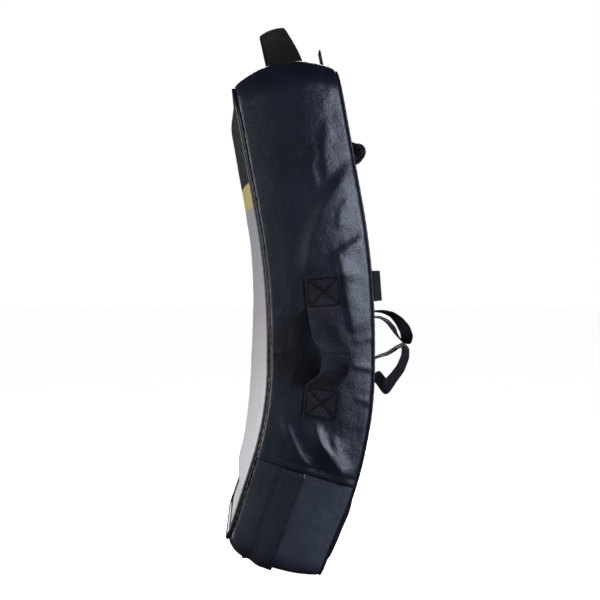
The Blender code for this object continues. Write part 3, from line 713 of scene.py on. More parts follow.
COVERS = [build_main_gusset(), build_boot("boot_front_cloth", -EDGE_N, BOOT_FRONT_END, 16),
          build_boot("boot_rear_cloth", BOOT_REAR_START, EDGE_N, 26), build_flap(),
          build_face("strike_face_cloth", True), build_face("back_cloth", False)]
for made, nodes in zip(COVERS, ("main_gusset", "boot_gusset_front", "boot_gusset_rear",
                                "zip_flap", "front_panel", "back_panel")):
    finish_piece(made, "shield", "face_cover" if nodes == "front_panel" else "body_cover", nodes)
for name, n in (("front_piping", -HALF_T), ("back_piping", HALF_T)):
    finish_piece(build_piping(name + "_welt", n), "shield", "piping", name)


def tree_of(objects):
    """A search tree of the outer surfaces of several pieces."""
    points, faces = [], []
    for one in objects:
        start = len(points)
        points += [one.matrix_world @ v.co for v in one.data.vertices]
        faces += [[start + i for i in face.vertices] for face in one.data.polygons]
    return BVHTree.FromPolygons(points, faces)


SURFACE = tree_of(COVERS)


def settle(points, inward, lift):
    """Points dropped on the cover along a direction, and raised by lift."""
    points = np.asarray(points, float)
    inward = np.broadcast_to(np.asarray(inward, float), points.shape)
    made = np.empty_like(points)
    for index in np.ndindex(points.shape[:-1]):
        start, way = Vector(points[index]), Vector(inward[index]).normalized()
        hit = SURFACE.ray_cast(start - way * 0.03, way, 0.06)[0]
        made[index] = (hit if hit is not None else start) - way * lift
    return made


# ---- stitches and webbing

STITCH, STITCH_GAP = 0.0030, 0.0009
STITCH_WIDTH, STITCH_HEIGHT = 0.0012, 0.0006


def stitch_mesh(name, lines, length=STITCH, gap=STITCH_GAP, width=STITCH_WIDTH,
                height=STITCH_HEIGHT):
    """Stitches along lines, each a path of points with the outward direction."""
    ring = np.array(((-0.5, -0.2), (-0.33, 0.85), (0.33, 0.85), (0.5, -0.2)))
    shape = ((0.0, 0.35), (0.18, 1.0), (0.82, 1.0), (1.0, 0.35))
    steps = np.array([t for t, _ in shape])
    sizes = np.array([size for _, size in shape])
    blocks = []
    for path, normal in lines:
        path = np.asarray(path, float)
        normal = np.broadcast_to(np.asarray(normal, float), path.shape)
        run = lengths(path)
        count = max(1, int(run[-1] / (length + gap) + 0.2))
        starts = np.arange(count) * (run[-1] / count) + gap / 2
        reach = min(length, run[-1] / count)
        for start in starts:
            a, b, up = (np.array([np.interp(at, run, values[:, k]) for k in range(3)])
                        for at, values in ((start, path), (start + reach, path), (start, normal)))
            side = np.cross(b - a, up)
            side = side / max(np.linalg.norm(side), 1e-9)
            middle = a + (b - a) * steps[:, None]
            across = side * (ring[:, 0] * width)[:, None]
            rise = up * (ring[:, 1] * height)[:, None]
            blocks.append(middle[:, None] + (across + rise)[None] * sizes[:, None, None])
    vertices = np.concatenate([block.reshape(-1, 3) for block in blocks])
    faces = [(k, k + 1, k + 5, k + 4) for first in range(0, len(vertices), 16)
             for k in (first + i * 4 + j for i in range(3) for j in range(3))]
    mesh = bpy.data.meshes.new(name)
    mesh.from_pydata(vertices.tolist(), [], faces)
    mesh.uv_layers.new(name="cloth")
    mesh.shade_smooth()
    return mesh


# Shares of a strap's half width where its points lie, closer together at the selvedge
HALF_ACROSS = np.array([0, 0.09, 0.18, 0.27, 0.36, 0.45, 0.54, 0.63, 0.72, 0.81,
                        0.88, 0.93, 0.975, 1])
ACROSS = np.concatenate([-HALF_ACROSS[:0:-1], HALF_ACROSS])


def band_mesh(name, path, sides, widths, thick, cups=None):
    """Webbing along a path: a closed strip with thick selvedges."""
    path, sides = np.asarray(path, float), np.asarray(sides, float)
    sides = sides / np.linalg.norm(sides, axis=1, keepdims=True)
    tangent = np.gradient(path, axis=0)
    normal = np.cross(sides, tangent)
    normal /= np.maximum(np.linalg.norm(normal, axis=1, keepdims=True), 1e-9)
    half = np.broadcast_to(np.asarray(widths, float), len(path))[:, None, None] / 2
    profile = thick / 2 * (1 + 0.18 * hump((np.abs(ACROSS) - 0.93) / 0.04))
    profile = profile * np.sqrt(np.clip(1 - np.abs(ACROSS) ** 40, 0.10, 1))
    cups = np.zeros(len(path)) if cups is None else np.asarray(cups, float)
    bend = cups[:, None, None] * np.square(ACROSS)[None, :, None]
    centre = path[:, None] + sides[:, None] * half * ACROSS[None, :, None] - normal[:, None] * bend
    top = centre + normal[:, None] * profile[None, :, None]
    bottom = centre - normal[:, None] * profile[None, :, None]
    points = np.concatenate([top, bottom[:, ::-1]], 1)
    # edge marks the selvedges, which the webbing material paints paler as a painted highlight.
    edge = np.tile(smooth((np.abs(np.concatenate([ACROSS, ACROSS[::-1]])) - 0.86) / 0.09),
                   (len(path), 1))
    mesh = grid_mesh(name, points, wrap=True, extra={"edge": edge})
    return rework(mesh, lambda work: bmesh.ops.holes_fill(
        work, edges=[edge for edge in work.edges if edge.is_boundary]))


def resample(path, pitch, *others):
    """A path with even steps, and other values along it."""
    run = lengths(np.asarray(path, float))
    at = np.linspace(0, run[-1], max(4, round(run[-1] / pitch)) + 1)
    made = []
    for values in (path, *others):
        values = np.asarray(values, float)
        if values.ndim == 1:
            made.append(np.interp(at, run, values))
        else:
            made.append(np.stack([np.interp(at, run, values[:, k]) for k in range(3)], 1))
    return made


def soften(values, times):
    """Evens out a run of values, ends kept."""
    values = np.asarray(values, float).copy()
    for _ in range(times):
        values[1:-1] = (values[:-2] + 2 * values[1:-1] + values[2:]) / 4
    return values


def box_stitching(corner, a, b, normal):
    """A sewn rectangle with its two diagonals."""
    inset = 0.0026
    a_unit, b_unit = a / np.linalg.norm(a), b / np.linalg.norm(b)
    p = corner + (a_unit + b_unit) * inset
    q = p + a - 2 * a_unit * inset
    r = q + b - 2 * b_unit * inset
    t = p + b - 2 * b_unit * inset
    lines = [(p, q), (q, r), (r, t), (t, p), (p, r), (q, t)]
    return [(np.linspace(one, two, 14), normal) for one, two in lines]


def lay(path, inward, lift, passes=5):
    """A flat run of webbing laid on the cover: its path at the middle of the webbing."""
    path = np.asarray(path, float)
    inward = np.asarray(inward, float)
    height = (settle(path, inward, 0.0) - path) @ -inward
    height = np.maximum(height, soften(height, passes)) + lift
    return path - inward * height[:, None]


def sink_seams(made, lines):
    """Pulls a strap in along its seams and folds, and marks them so that its material darkens them
    nearly to black as painted shade.
    """
    spread, depth = 0.0015, 0.0008
    mesh = made.data
    places = np.empty(len(mesh.vertices) * 3)
    mesh.vertices.foreach_get("co", places)
    places = places.reshape(-1, 3)
    seam_shade, shift = np.zeros(len(places)), np.zeros_like(places)
    for a, b, normal, wide in lines:
        along = b - a
        t = np.clip((places - a) @ along / (along @ along), 0, 1)
        value = hump(np.linalg.norm(places - a - t[:, None] * along, axis=1) / (spread * wide))
        shift = np.where((value > seam_shade)[:, None], -np.asarray(normal) * depth * wide
                         * value[:, None], shift)
        seam_shade = np.maximum(seam_shade, value)
    mesh.vertices.foreach_set("co", (places + shift).ravel())
    marked = mesh.attributes.get("seam_shade") or mesh.attributes.new("seam_shade", "FLOAT", "POINT")
    marked.data.foreach_set("value", seam_shade)


def stitched(name, strip, lines):
    sewn = new_object(name + "_stitches", stitch_mesh(name + "_stitches", lines), [THREAD])
    return join(name, [strip, sewn])


WEB, PATCH, WEB_THICK = 0.050, 0.046, 0.0022
LAID = WEB_THICK / 2 + 0.0004


def strap_piece(name, path, sides, widths, thick=WEB_THICK, boxes=(), material=None, even=3,
                cups=None, pitch=0.0018, folds=()):
    """A strap as one run of webbing, with the stitching of its sewn ends."""
    runs = resample(path, pitch, sides, widths, *([] if cups is None else [cups]))
    points = soften(runs[0], even)
    made = new_object(name, band_mesh(name, points, soften(runs[1], even), soften(runs[2], even),
                                      thick, runs[3] if cups is not None else None),
                      [material or WEBBING])
    lines = [line for box in boxes for line in box_stitching(*box)]
    seams = [(line[0], line[-1], normal, 1.0) for line, normal in lines]
    sink_seams(made, seams + list(folds))
    return stitched(name, made, lines) if lines else made


def ellipse(half_span, height):
    angle = np.linspace(0.0, math.pi, 41)
    return half_span * np.cos(angle), height * np.sin(angle)


def end_handle(name, top):
    """A carrying handle across an end of the shield, sewn down at both sides."""
    if top:
        foot_n, half_span, height, waist = 0.012, 0.062, 0.074, 0.040
        lean, body = math.radians(9.7), "top_handle"
        up, back = np.array(up_at(S_TOP)), np.array(back_at(S_TOP))
        s_of, sign = top_s, 1
    else:
        foot_n, half_span, height, waist = -0.014, 0.060, 0.015, 0.043
        lean, body = 0.0, "bottom_handle"
        up, back = -np.array(up_at(S_BOTTOM)), np.array(back_at(S_BOTTOM))
        s_of, sign = bottom_s, -1
    right = np.array([1.0, 0, 0])
    out = up * math.cos(lean) - back * math.sin(lean)
    across = back * math.cos(lean) + up * math.sin(lean)
    wall = place(float(s_of(foot_n)) + sign * 0.004, foot_n, 0.0)
    run = np.linspace(half_span + PATCH, half_span + 0.003, 14)
    patch = lay(wall + run[:, None] * right, -up, LAID)
    base = wall + up * float((patch[-1] - wall) @ up)
    span, rise = ellipse(half_span, height)
    middle = base + out * 0.002
    arch = middle + span[:, None] * right + out * rise[:, None]
    other = patch[::-1] * np.array([-1.0, 1, 1])
    path = np.concatenate([patch, arch[2:-2], other])
    share = np.concatenate([np.zeros(len(patch)), rise[2:-2] / height, np.zeros(len(patch))])
    sides = back + (across - back) * smooth(share * 3)[:, None]
    widths = WEB + (waist - WEB) * smooth(share)
    cups = 0.0035 * smooth(share * 1.2)
    boxes = []
    for one in (1, -1):
        corner = patch[0] * np.array([one, 1, 1]) + up * WEB_THICK / 2 - back * WEB / 2
        along = (patch[-1] - patch[0]) * np.array([one, 1, 1])
        boxes.append((corner, along, back * WEB, up))
    made = strap_piece(name + "_webbing", path, sides, widths, boxes=boxes, cups=cups,
                       material=SHADED_END_WEBBING)
    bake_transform(made)
    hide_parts(name, name + "_end_left", name + "_end_right")


end_handle("top_handle", True)
end_handle("bottom_handle", False)

SIDE_BOX = 0.0445

# A side handle from its upper sewn end to its lower one: s, n, height over the wall, width, lean
SIDE_RUN = (
    (0.1090, 0.0045, 0.0000, 0.0500, 0), (0.0700, 0.0045, 0.0000, 0.0495, 0),
    (0.0645, 0.0035, 0.0015, 0.0470, 0), (0.0600, -0.0015, 0.0070, 0.0380, 4),
    (0.0500, -0.0022, 0.0160, 0.0360, 8), (0.0340, -0.0005, 0.0290, 0.0385, 12),
    (0.0180, 0.0030, 0.0390, 0.0410, 16), (0.0080, 0.0105, 0.0438, 0.0450, 22),
    (0.0050, 0.0145, 0.0468, 0.0470, 24), (0.0030, 0.0156, 0.0460, 0.0475, 24),
    (0.0012, 0.0160, 0.0420, 0.0475, 24), (-0.0010, 0.0162, 0.0436, 0.0475, 24),
    (-0.0040, 0.0160, 0.0440, 0.0465, 22), (-0.0120, 0.0150, 0.0385, 0.0435, 18),
    (-0.0230, 0.0130, 0.0290, 0.0420, 14), (-0.0340, 0.0050, 0.0180, 0.0430, 8),
    (-0.0420, 0.0015, 0.0080, 0.0450, 3), (-0.0470, 0.0020, 0.0015, 0.0480, 0),
    (-0.0520, 0.0020, 0.0000, 0.0495, 0), (-0.0930, 0.0020, 0.0000, 0.0500, 0),
)


def side_handle(name, sign):
    """A side handle: a doubled strap folded to a crease, box-stitched at both ends."""
    run = np.array(SIDE_RUN)
    s, n = run[:, 0], run[:, 1]
    wall = place(s, n, sign * (half_width(n) + 0.006))
    outward = np.array([sign * 1.0, 0, 0])
    path = lay(wall, -outward, LAID, 2) + outward * run[:, 2:3]
    lean = np.radians(run[:, 4:5])
    back = np.stack([0 * s, np.cos(spine(s)[2]), np.sin(spine(s)[2])], 1)
    sides = back * np.cos(lean) - outward * np.sin(lean)
    boxes = []
    for first, last in ((0, 1), (-1, -2)):
        along = path[last] - path[first]
        along = along / np.linalg.norm(along) * SIDE_BOX
        corner = path[first] + outward * WEB_THICK / 2 - back[first] * WEB / 2
        boxes.append((corner, along, back[first] * WEB, outward))
    widths = run[:, 3]
    cups = 0.0075 * smooth(run[:, 2] / 0.025) * (1 - 0.7 * hump(s / 0.006))
    # Creases across the handle, sunk in and darkened by the webbing material as painted shade.
    folds = []
    for index, wide in ((10, 1.3), (3, 0.9), (-4, 0.9)):
        reach = sides[index] * widths[index] / 2
        folds.append((path[index] - reach, path[index] + reach, outward, wide))
    made = strap_piece(name + "_webbing", path, sides, widths, boxes=boxes, even=1, cups=cups,
                       material=LIT_HANDLE_WEBBING, pitch=0.0015, folds=folds)
    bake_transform(made)
    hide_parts(name, name + "_end_lower", name + "_end_upper")


side_handle("side_handle_right", 1)
side_handle("side_handle_left", -1)

# ---- back straps

GRIP_S, GRIP_HALF, GRIP_RADIUS = 0.289, 0.066, 0.0125
GRIP_BASE_HALF, GRIP_BASE_WEB, GRIP_WEB = 0.112, 0.052, 0.038
BACK_UP, BACK_OUT = np.array(up_at(GRIP_S)), np.array(back_at(GRIP_S))


def back_run(s, xs, lift):
    """Points on the back at one level, laid over the cover."""
    base = place(np.full(len(xs), s), HALF_T + 0.004, np.asarray(xs, float))
    return lay(base, -np.array(back_at(s)), lift)


def build_grip():
    """A padded roll on a webbing strip, with flat ends box-stitched to it."""
    xs = np.linspace(GRIP_BASE_HALF, -GRIP_BASE_HALF, 60)
    base = back_run(GRIP_S, xs, LAID)
    corner = base[0] + BACK_OUT * WEB_THICK / 2 - BACK_UP * (GRIP_BASE_WEB / 2)
    long = base[-1] - base[0]
    edges = [(np.linspace(corner + BACK_UP * gap, corner + BACK_UP * gap + long, 40), BACK_OUT)
             for gap in (0.004, 0.048)]
    strip = new_object("grip_base_webbing", band_mesh("grip_base_webbing", base,
                       np.tile(BACK_UP, (60, 1)), GRIP_BASE_WEB, WEB_THICK), [WEBBING])
    strip = stitched("grip_base_webbing", strip, edges)
    finish_piece(strip, "shield", "webbing", "grip_base")
    level = float((base[30] - place(GRIP_S, HALF_T, 0.0)) @ BACK_OUT) + WEB_THICK / 2
    floor = place(GRIP_S, HALF_T + level, 0.0)
    for side, sign in (("right", 1), ("left", -1)):
        flat = np.linspace(0.107, 0.068, 14)
        rise = np.array([0.064, 0.060, 0.055, 0.049, 0.040])
        high = np.array([0.0016, 0.0042, 0.0082, 0.0125, 0.0155])
        lift = np.concatenate([np.full(14, LAID), high + WEB_THICK / 2])
        reach = np.concatenate([flat, rise])
        path = floor + BACK_OUT * lift[:, None] + reach[:, None] * np.array([sign, 0, 0])
        widths = np.concatenate([np.full(14, GRIP_WEB), [0.036, 0.032, 0.028, 0.025, 0.022]])
        corner = path[0] + BACK_OUT * WEB_THICK / 2 - BACK_UP * (GRIP_WEB / 2)
        box = (corner, path[12] - path[0], BACK_UP * GRIP_WEB, BACK_OUT)
        made = strap_piece(f"grip_strap_{side}", path, np.tile(BACK_UP, (19, 1)), widths,
                           boxes=[box], even=2)
        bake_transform(made)
        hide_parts("grip_end_" + side)
    xs = np.linspace(-1, 1, 67)
    size = np.sqrt(np.clip(1 - np.abs(xs) ** 7, 0, 1))
    size = size * (1 + 0.035 * np.sin(xs * 23) + 0.02 * np.sin(xs * 51 + 1))
    size[0] = size[-1] = 0.18
    angle = np.linspace(0, 2 * math.pi, 29)[:-1]
    centre = floor + BACK_OUT * 0.0160 + xs[:, None] * np.array([GRIP_HALF - 0.004, 0, 0])
    shape = 1 + 0.05 * np.cos(2 * angle)
    ring = (BACK_OUT * np.cos(angle)[:, None] * (GRIP_RADIUS - 0.0006)
            + BACK_UP * np.sin(angle)[:, None] * (GRIP_RADIUS + 0.0008)) * shape[:, None]
    points = centre[:, None] + ring[None] * size[:, None, None]
    points += 0.0006 * fractal(points, 70.0, 2.0)[..., None] * ring[None] / GRIP_RADIUS
    roll = new_object("grip_roll", grid_mesh("grip_roll", points, wrap=True,
                                             extra={"edge": np.zeros(points.shape[:2])}), [WEBBING])
    ends = [(np.concatenate([points[k], points[k, :1]]),
             np.concatenate([ring, ring[:1]]) / GRIP_RADIUS) for k in (4, 62)]
    roll = stitched("grip_roll", roll, ends)
    finish_piece(roll, "grip_handle", "webbing", "grip_handle")


build_grip()

STRAP_S, STRAP_FOOT, STRAP_WEB, STRAP_HEIGHT, STRAP_LAP = 0.091, 0.095, 0.046, 0.014, 0.025
STRAP_OUT, STRAP_UP = np.array(back_at(STRAP_S)), np.array(up_at(STRAP_S))
HOOK_THICK, STRAP_BASE = 0.0012, HALF_T + 0.0056
TAPE_LIFT = (0.0024 + HOOK_THICK) / 2 + 0.0004
STACK = 2 * TAPE_LIFT + HOOK_THICK + 0.0010


def strap_layer(name, foot_sign, extra):
    """One half of the arm strap: sewn end, then the arc over the forearm to its lap."""
    flat = np.linspace(STRAP_FOOT + PATCH, STRAP_FOOT + 0.003, 14)
    patch = back_run(STRAP_S, flat, LAID)
    x = np.linspace(STRAP_FOOT - 0.002, -STRAP_LAP, 44)
    high = STRAP_HEIGHT * np.sqrt(np.clip(1 - (x / STRAP_FOOT) ** 2, 0, 1)) + extra(x)
    arc = place(STRAP_S, STRAP_BASE, x) + STRAP_OUT * high[:, None]
    path = np.concatenate([patch, arc]) * np.array([foot_sign, 1, 1])
    sides = np.tile(STRAP_UP, (len(path), 1))
    corner = path[0] + STRAP_OUT * WEB_THICK / 2 - STRAP_UP * STRAP_WEB / 2
    box = (corner, path[13] - path[0], STRAP_UP * STRAP_WEB, STRAP_OUT)
    return strap_piece(name, path, sides, np.full(len(path), STRAP_WEB), boxes=[box])


def tape_layer(name, lift):
    """A patch of hook or loop tape on the strap's lap."""
    x = np.linspace(STRAP_LAP - 0.002, -STRAP_LAP + 0.002, 12)
    high = STRAP_HEIGHT * np.sqrt(1 - (x / STRAP_FOOT) ** 2) + lift
    path = place(STRAP_S, STRAP_BASE, x) + STRAP_OUT * high[:, None]
    mesh = band_mesh(name, path, np.tile(STRAP_UP, (12, 1)), STRAP_WEB - 0.006, HOOK_THICK)
    return new_object(name, mesh, [TAPE])


loop_half = strap_layer("arm_strap_loop_webbing", -1, lambda x: 0 * x)
finish_piece(loop_half, "shield", "webbing", "arm_strap_loop_half", "arm_strap_end_left")
hook_half = strap_layer("arm_strap_hook_webbing", 1,
                        lambda x: STACK * smooth((STRAP_FOOT - x) / 0.060))
hinge = place(STRAP_S, STRAP_BASE, STRAP_FOOT)
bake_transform(hook_half)
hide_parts("arm_strap_hook_half", "arm_strap_end_right")
finish_piece(tape_layer("arm_strap_loop_pile", TAPE_LIFT), "shield", "tape",
             "arm_strap_loop_tape")
finish_piece(tape_layer("arm_strap_hook_pile", STACK - TAPE_LIFT), "arm_strap_flap", "tape",
             "arm_strap_hook_tape")

LOOP_HALF_SPAN, LOOP_WEB, LOOP_PATCH = 0.080, 0.022, 0.028

# An arm loop from its right end to its left one: x, y, z, the share of the width that
# faces sideways, the slope of that share, and the width
UPPER_LOOP = (
    (0.0800, 0.0070, 0.0592, 0.06, 70, 0.022), (0.0785, 0.0220, 0.0590, 0.16, 76, 0.022),
    (0.0700, 0.0365, 0.0545, 0.34, 62, 0.021), (0.0560, 0.0490, 0.0445, 0.60, 46, 0.021),
    (0.0340, 0.0605, 0.0310, 0.80, 34, 0.021), (0.0120, 0.0665, 0.0185, 0.86, 10, 0.021),
    (-0.0040, 0.0655, 0.0105, 0.86, -24, 0.021), (-0.0200, 0.0600, 0.0140, 0.66, -62, 0.021),
    (-0.0400, 0.0530, 0.0275, 0.46, -118, 0.021), (-0.0570, 0.0435, 0.0410, 0.34, -130, 0.021),
    (-0.0710, 0.0330, 0.0480, 0.16, -110, 0.022), (-0.0790, 0.0200, 0.0490, 0.06, -100, 0.022),
    (-0.0800, 0.0070, 0.0560, 0.02, -100, 0.022),
)
LOWER_LOOP = (
    (0.0805, 0.0050, -0.0400, 0.50, 60, 0.022), (0.0800, 0.0110, -0.0360, 0.84, 60, 0.022),
    (0.0790, 0.0180, -0.0440, 0.86, 58, 0.020), (0.0775, 0.0245, -0.0535, 0.94, 78, 0.024),
    (0.0755, 0.0270, -0.0560, 1.00, 90, 0.027), (0.0730, 0.0300, -0.0530, 0.94, 104, 0.024),
    (0.0660, 0.0385, -0.0430, 0.84, 130, 0.020), (0.0480, 0.0520, -0.0290, 0.80, 138, 0.020),
    (0.0260, 0.0620, -0.0115, 0.74, 156, 0.020), (0.0080, 0.0645, 0.0010, 0.66, 176, 0.020),
    (-0.0120, 0.0605, 0.0055, 0.50, 226, 0.020), (-0.0350, 0.0520, -0.0020, 0.34, 250, 0.021),
    (-0.0560, 0.0430, -0.0100, 0.22, 255, 0.021), (-0.0730, 0.0300, -0.0150, 0.12, 258, 0.022),
    (-0.0800, 0.0160, -0.0220, 0.06, 260, 0.022), (-0.0805, 0.0060, -0.0360, 0.02, 260, 0.022),
)


def arm_loop(name, s_foot, toward, run):
    """A loop for the forearm, twisted as it crosses from one sewn end to the other."""
    run = np.array(run)
    away = np.array(back_at(s_foot))
    levels = s_foot + toward * np.linspace(LOOP_PATCH, 0.003, 9)
    patch = lay(place(levels, HALF_T + 0.004, np.full(9, LOOP_HALF_SPAN)), -away, LAID)
    mirror = np.array([-1.0, 1, 1])
    slope = np.radians(run[:, 4])
    face = np.stack([0 * slope, np.cos(slope), np.sin(slope)], 1) * run[:, 3:4]
    across = np.sqrt(1 - run[:, 3:4] ** 2) * np.array([1.0, 0, 0])
    path = np.concatenate([patch, run[:, :3], (patch * mirror)[::-1]])
    sides = np.concatenate([np.tile([1.0, 0, 0], (9, 1)), across + face,
                            np.tile([1.0, 0, 0], (9, 1))])
    widths = np.concatenate([np.full(9, LOOP_WEB), run[:, 5], np.full(9, LOOP_WEB)])
    boxes = []
    for sign in (1, -1):
        corner = patch[0] * np.array([sign, 1, 1]) + away * WEB_THICK / 2 \
            - np.array([LOOP_WEB / 2, 0, 0])
        boxes.append((corner, (patch[-1] - patch[0]) * np.array([sign, 1, 1]),
                      np.array([LOOP_WEB, 0, 0]), away))
    made = strap_piece(name + "_webbing", path, sides, widths, 0.0016, boxes=boxes, even=6,
                       pitch=0.002)
    start = place(s_foot, HALF_T + 0.0035, 0.0)
    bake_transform(made)
    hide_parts(name, name + "_end_left", name + "_end_right")


arm_loop("arm_loop_upper", 0.0588, -1, UPPER_LOOP)
arm_loop("arm_loop_lower", -0.0422, 1, LOWER_LOOP)


HANG_N, HANG_WEB, HANG_TALL, HANG_BEND = 0.0680, 0.025, 0.059, 0.0009


def build_hang_loop():
    """A narrow strip folded on itself and sewn into the top edge by the back."""
    up, back = np.array(up_at(S_TOP)), np.array(back_at(S_TOP))
    base = place(float(top_s(HANG_N)) - 0.004, HANG_N, 0.0)
    bend, tall = HANG_BEND, HANG_TALL
    rise = np.linspace(0, tall - 0.004, 14)[:, None]
    sway = 0.0004 * np.sin(rise * 70)
    front = base - back * (bend - sway) + up * rise
    rear = base + back * (bend + sway) + up * rise
    angle = np.linspace(0, math.pi, 7)[1:-1, None]
    crest = base + up * (tall - 0.003) - back * np.cos(angle) * bend * 1.1 \
        + up * np.sin(angle) * bend * 1.4
    path = np.concatenate([front, crest, rear[::-1]])
    sides = np.tile([1.0, 0, 0], (len(path), 1))
    made = strap_piece("hang_loop_webbing", path, sides, np.full(len(path), HANG_WEB), 0.0012,
                       material=NARROW, even=1, pitch=0.002)
    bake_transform(made)
    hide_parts("hang_loop")


build_hang_loop()

# ---- zipper and seams

def zip_tape(name, n0, n1):
    grid = wall_grid(np.linspace(n0, n1, 7), False, S_SEAM)
    grid["out"] = 0 * grid["out"] - 0.0010
    points = wall_points(grid)
    made = cloth_piece(name + "_cloth", points, 0 * grid["n"], TAPE, 0.0008, facing=(1, 0, 0))
    finish_piece(made, "shield", "tape", name)


def wall_line(n, main, start, lift):
    """A path along the wall at depth n, settled on the cover, with its outward direction."""
    x, s, out_x, out_s = outline(n, main, start, 0.003)
    n_run = np.full(len(x), float(n))
    line = place(s, n_run, x)
    out = place(s + out_s, n_run, x + out_x) - line
    out /= np.linalg.norm(out, axis=1, keepdims=True)
    return settle(line + out * 0.012, -out, lift), out


def build_zipper():
    front, rear = ZIP_N - COIL_HALF, ZIP_N + COIL_HALF
    zip_tape("zip_tape_front", front - 0.012, front + 0.0004)
    zip_tape("zip_tape_rear", rear - 0.0004, rear + 0.012)
    x, s, out_x, out_s = outline(ZIP_N, False, S_SEAM, 0.0016)
    teeth = []
    for i in range(1, len(x) - 1):
        line = place(np.full(2, s[i]), np.array([ZIP_N - 0.0026, ZIP_N + 0.0026]),
                     np.full(2, x[i]))
        out = place(s[i] + out_s[i], ZIP_N, x[i] + out_x[i]) - place(s[i], ZIP_N, x[i])
        teeth.append((line - out * 0.0004, out / np.linalg.norm(out)))
    coil = new_object("zip_coil_teeth", stitch_mesh("zip_coil_teeth", teeth, 0.0052, 0.0,
                                                    0.0013, 0.0014), [COIL])
    finish_piece(coil, "shield", "zip_plastic", "zip_coil")


def plate(name, outline_points, thick, origin, axes, bevel, hole=None):
    """A small cast plate: an outline in two of the axes, its thickness along the third."""
    bm = bmesh.new()
    rings = [outline_points] + ([hole] if hole else [])
    for ring in rings:
        vertices = [bm.verts.new((a, b, 0)) for a, b in ring]
        for one, two in zip(vertices, vertices[1:] + vertices[:1]):
            bm.edges.new((one, two))
    bmesh.ops.triangle_fill(bm, use_beauty=True, use_dissolve=False, edges=bm.edges)
    got = bmesh.ops.extrude_face_region(bm, geom=bm.faces[:])
    bmesh.ops.translate(bm, vec=(0, 0, thick),
                        verts=[v for v in got["geom"] if isinstance(v, bmesh.types.BMVert)])
    bmesh.ops.recalc_face_normals(bm, faces=bm.faces)
    sharp = [e for e in bm.edges if len(e.link_faces) == 2 and e.calc_face_angle() > 0.9]
    bmesh.ops.bevel(bm, geom=sharp, offset=bevel, segments=2, affect="EDGES", profile=0.6)
    for v in bm.verts:
        v.co = Vector(origin) + axes[0] * v.co.x + axes[1] * v.co.y + axes[2] * v.co.z
    mesh = bpy.data.meshes.new(name)
    bm.to_mesh(mesh)
    bm.free()
    mesh.shade_smooth()
    return new_object(name, mesh, [METAL])


def build_slider():
    axes = Vector((1, 0, 0)), back_at(S_BOTTOM), -up_at(S_BOTTOM)
    start = -0.120
    level = float(bottom_s(ZIP_N)) - 0.0008 - 0.0004
    body = place(level, ZIP_N, start)
    half, wide = 0.0060, 0.0045
    shape = [(-half, -wide * 0.55), (-half * 0.4, -wide * 0.72), (half * 0.5, -wide),
             (half, -wide * 0.92), (half * 0.72, 0), (half, wide * 0.92), (half * 0.5, wide),
             (-half * 0.4, wide * 0.72), (-half, wide * 0.55)]
    plates = [plate("slider_plate", shape, 0.0012, body, axes, 0.0003)]
    bridge = [(-0.0046, -0.0012), (0.0030, -0.0012), (0.0038, 0), (0.0030, 0.0012),
              (-0.0046, 0.0012), (-0.0052, 0)]
    plates.append(plate("slider_bridge", bridge, 0.0012, place(level - 0.0010, ZIP_N, start), axes,
                        0.0003))
    made = join("zip_slider_body", plates)
    finish_piece(made, "zip_slider", "zip_metal", "zip_slider")
    pull_at = place(level - 0.0028 - 0.0004, ZIP_N, start + 0.006)
    tab = []
    for k in range(24):
        a = 2 * math.pi * k / 24
        tab.append((math.copysign(0.0065, math.cos(a)) + 0.0025 * math.cos(a),
                    0.0024 * math.sin(a)))
    hole = [(0.0062 + 0.0012 * math.cos(2 * math.pi * k / 10),
             0.0012 * math.sin(2 * math.pi * k / 10)) for k in range(10)]
    pull = plate("zip_pull_tab", tab, 0.0009, pull_at, axes, 0.00022, hole)
    finish_piece(pull, "zip_slider", "zip_metal", "zip_pull")


build_zipper()
build_slider()


FLAP_ROWS, SEAM_ROW = (-0.0395, -0.0030), 0.0045


def build_seams():
    """The flap's two rows of stitches, and the row over the seam across each side."""
    lines = [wall_line(n, False, S_SEAM - 0.006, 0.0001) for n in FLAP_ROWS]
    n = np.linspace(-EDGE_N + 0.002, EDGE_N - 0.002, 60)
    for sign in (1, -1):
        out = np.array([sign * 1.0, 0, 0])
        line = place(np.full(60, S_SEAM + SEAM_ROW), n, sign * (half_width(n) + 0.012))
        lines.append((settle(line, -out, 0.0001), np.tile(out, (60, 1))))
    made = new_object("seam_stitches", stitch_mesh("seam_stitches", lines), [THREAD])
    finish_piece(made, "shield", "body_cover")


build_seams()

# ---- foam

def build_foam(name, low, high, material):
    """A layer of foam with softened edges."""
    inset, soften_by = 0.0085, 0.004
    levels = (low, low + soften_by * 0.4, low + soften_by, high - soften_by,
              high - soften_by * 0.4, high)
    insets = (soften_by, soften_by * 0.35, 0, 0, soften_by * 0.35, soften_by)
    rows = np.array(face_rows(0.0, inset, 0.012))
    share = (rows[:, 0] - rows[0, 0]) / np.ptp(rows[:, 0])
    rings = []
    for n, more in zip(levels, insets):
        first, last = float(bottom_s(n)) + inset + more, float(top_s(n)) - inset - more
        s = first + (last - first) * share
        half = rows[:, 1] - more
        ring = np.concatenate([place(s, n, half), place(s[::-1], n, -half[::-1])])
        rings.append(ring)
    points = np.stack(rings)
    mesh = grid_mesh(name, points, wrap=True)
    count = len(rows)

    def close_ends(work):
        work.verts.ensure_lookup_table()
        for base in (0, (len(levels) - 1) * 2 * count):
            for i in range(count - 1):
                corners = (i, i + 1, 2 * count - 2 - i, 2 * count - 1 - i)
                quad = [work.verts[base + k] for k in corners]
                work.faces.new(quad if base else quad[::-1])

    return new_object(name, rework(mesh, close_ends), [material])


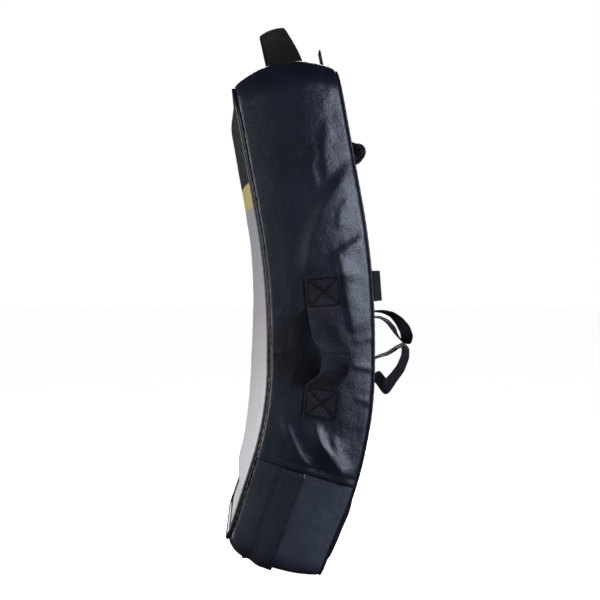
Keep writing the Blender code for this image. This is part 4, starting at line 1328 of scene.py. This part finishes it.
FOAM = (("strike_foam", -0.0715, -0.0510, STRIKE_FOAM, "dense_foam"),
        ("core_foam", -0.0490, 0.0470, CORE_FOAM, "main_foam"),
        ("back_foam", 0.0490, 0.0715, BACK_FOAM, "soft_foam"))
for node, low, high, material, slot_name in FOAM:
    made = build_foam(node + "_layer", low, high, material)
    finish_piece(made, "shield", slot_name, node)

# ---- stage, lights, camera

def light(name, place_at, size, watts, colour):
    """A soft box aimed at the shield."""
    lamp = bpy.data.lights.new(name, "AREA")
    lamp.shape, lamp.size, lamp.size_y = "RECTANGLE", size[0], size[1]
    lamp.energy, lamp.color = watts, colour
    made = bpy.data.objects.new(name, lamp)
    made.location = place_at
    made.rotation_euler = (LOOK - Vector(place_at)).to_track_quat("-Z", "Y").to_euler()
    bpy.context.scene.collection.objects.link(made)


FLOOR_Z = -0.3520
LOOK = Vector((0, -0.1000, 0.076))

floor = new_object("floor", grid_mesh("floor", np.stack(np.meshgrid(
    np.linspace(-60, 60, 13), np.linspace(-60, 60, 13), [FLOOR_Z], indexing="ij"), -1)[:, :, 0]))
floor.visible_diffuse = floor.visible_glossy = False
paper = Shader("floor_paper", Specular_IOR_Level=0.1, Roughness=0.9, Emission_Strength=1.0)
paper_colour = paper.blend(paper.noise(paper.places(), 6.0), (0.94, 0.94, 0.94),
                           (0.97, 0.97, 0.97))
floor.data.materials.append(paper.feed(Base_Color=paper_colour, Emission_Color=paper_colour))

world = bpy.data.worlds.new("studio")
world.use_nodes = True
bpy.context.scene.world = world
shade = world.node_tree
background = shade.nodes["Background"]
seen = shade.nodes.new("ShaderNodeLightPath").outputs["Is Camera Ray"]
level = shade.nodes.new("ShaderNodeMapRange")
AMBIENT, BACKDROP = 0.025, 1.0
level.inputs["To Min"].default_value = AMBIENT
level.inputs["To Max"].default_value = BACKDROP
shade.links.new(seen, level.inputs["Value"])
shade.links.new(level.outputs["Result"], background.inputs["Strength"])
background.inputs["Color"].default_value = (1, 1, 1, 1)

light("left_box", (0.40, -2.3, 0.0), (0.6, 1.8), 66.0, (1.0, 0.99, 0.98))
light("right_box", (1.80, 1.60, 0.50), (0.45, 1.3), 48.0, (0.74, 0.81, 1.0))
light("far_box", (-2.2, 0.1, 0.7), (0.8, 1.4), 50.0, (0.95, 0.97, 1.0))
light("front_box", (2.5, -1.4, 0.5), (0.4, 0.9), 3.0, (0.9, 0.95, 1.0))

camera = bpy.data.cameras.new("camera")
camera.lens, camera.sensor_width = 79.7, 36.0
eye = bpy.data.objects.new("camera", camera)
azimuth, distance = math.radians(88), 2.075
eye.location = LOOK + Vector((math.sin(azimuth), -math.cos(azimuth), 0)) * distance
eye.rotation_euler = (LOOK - eye.location).to_track_quat("-Z", "Y").to_euler()
bpy.context.scene.collection.objects.link(eye)
bpy.context.scene.camera = eye
bpy.context.scene.view_settings.view_transform = "Standard"
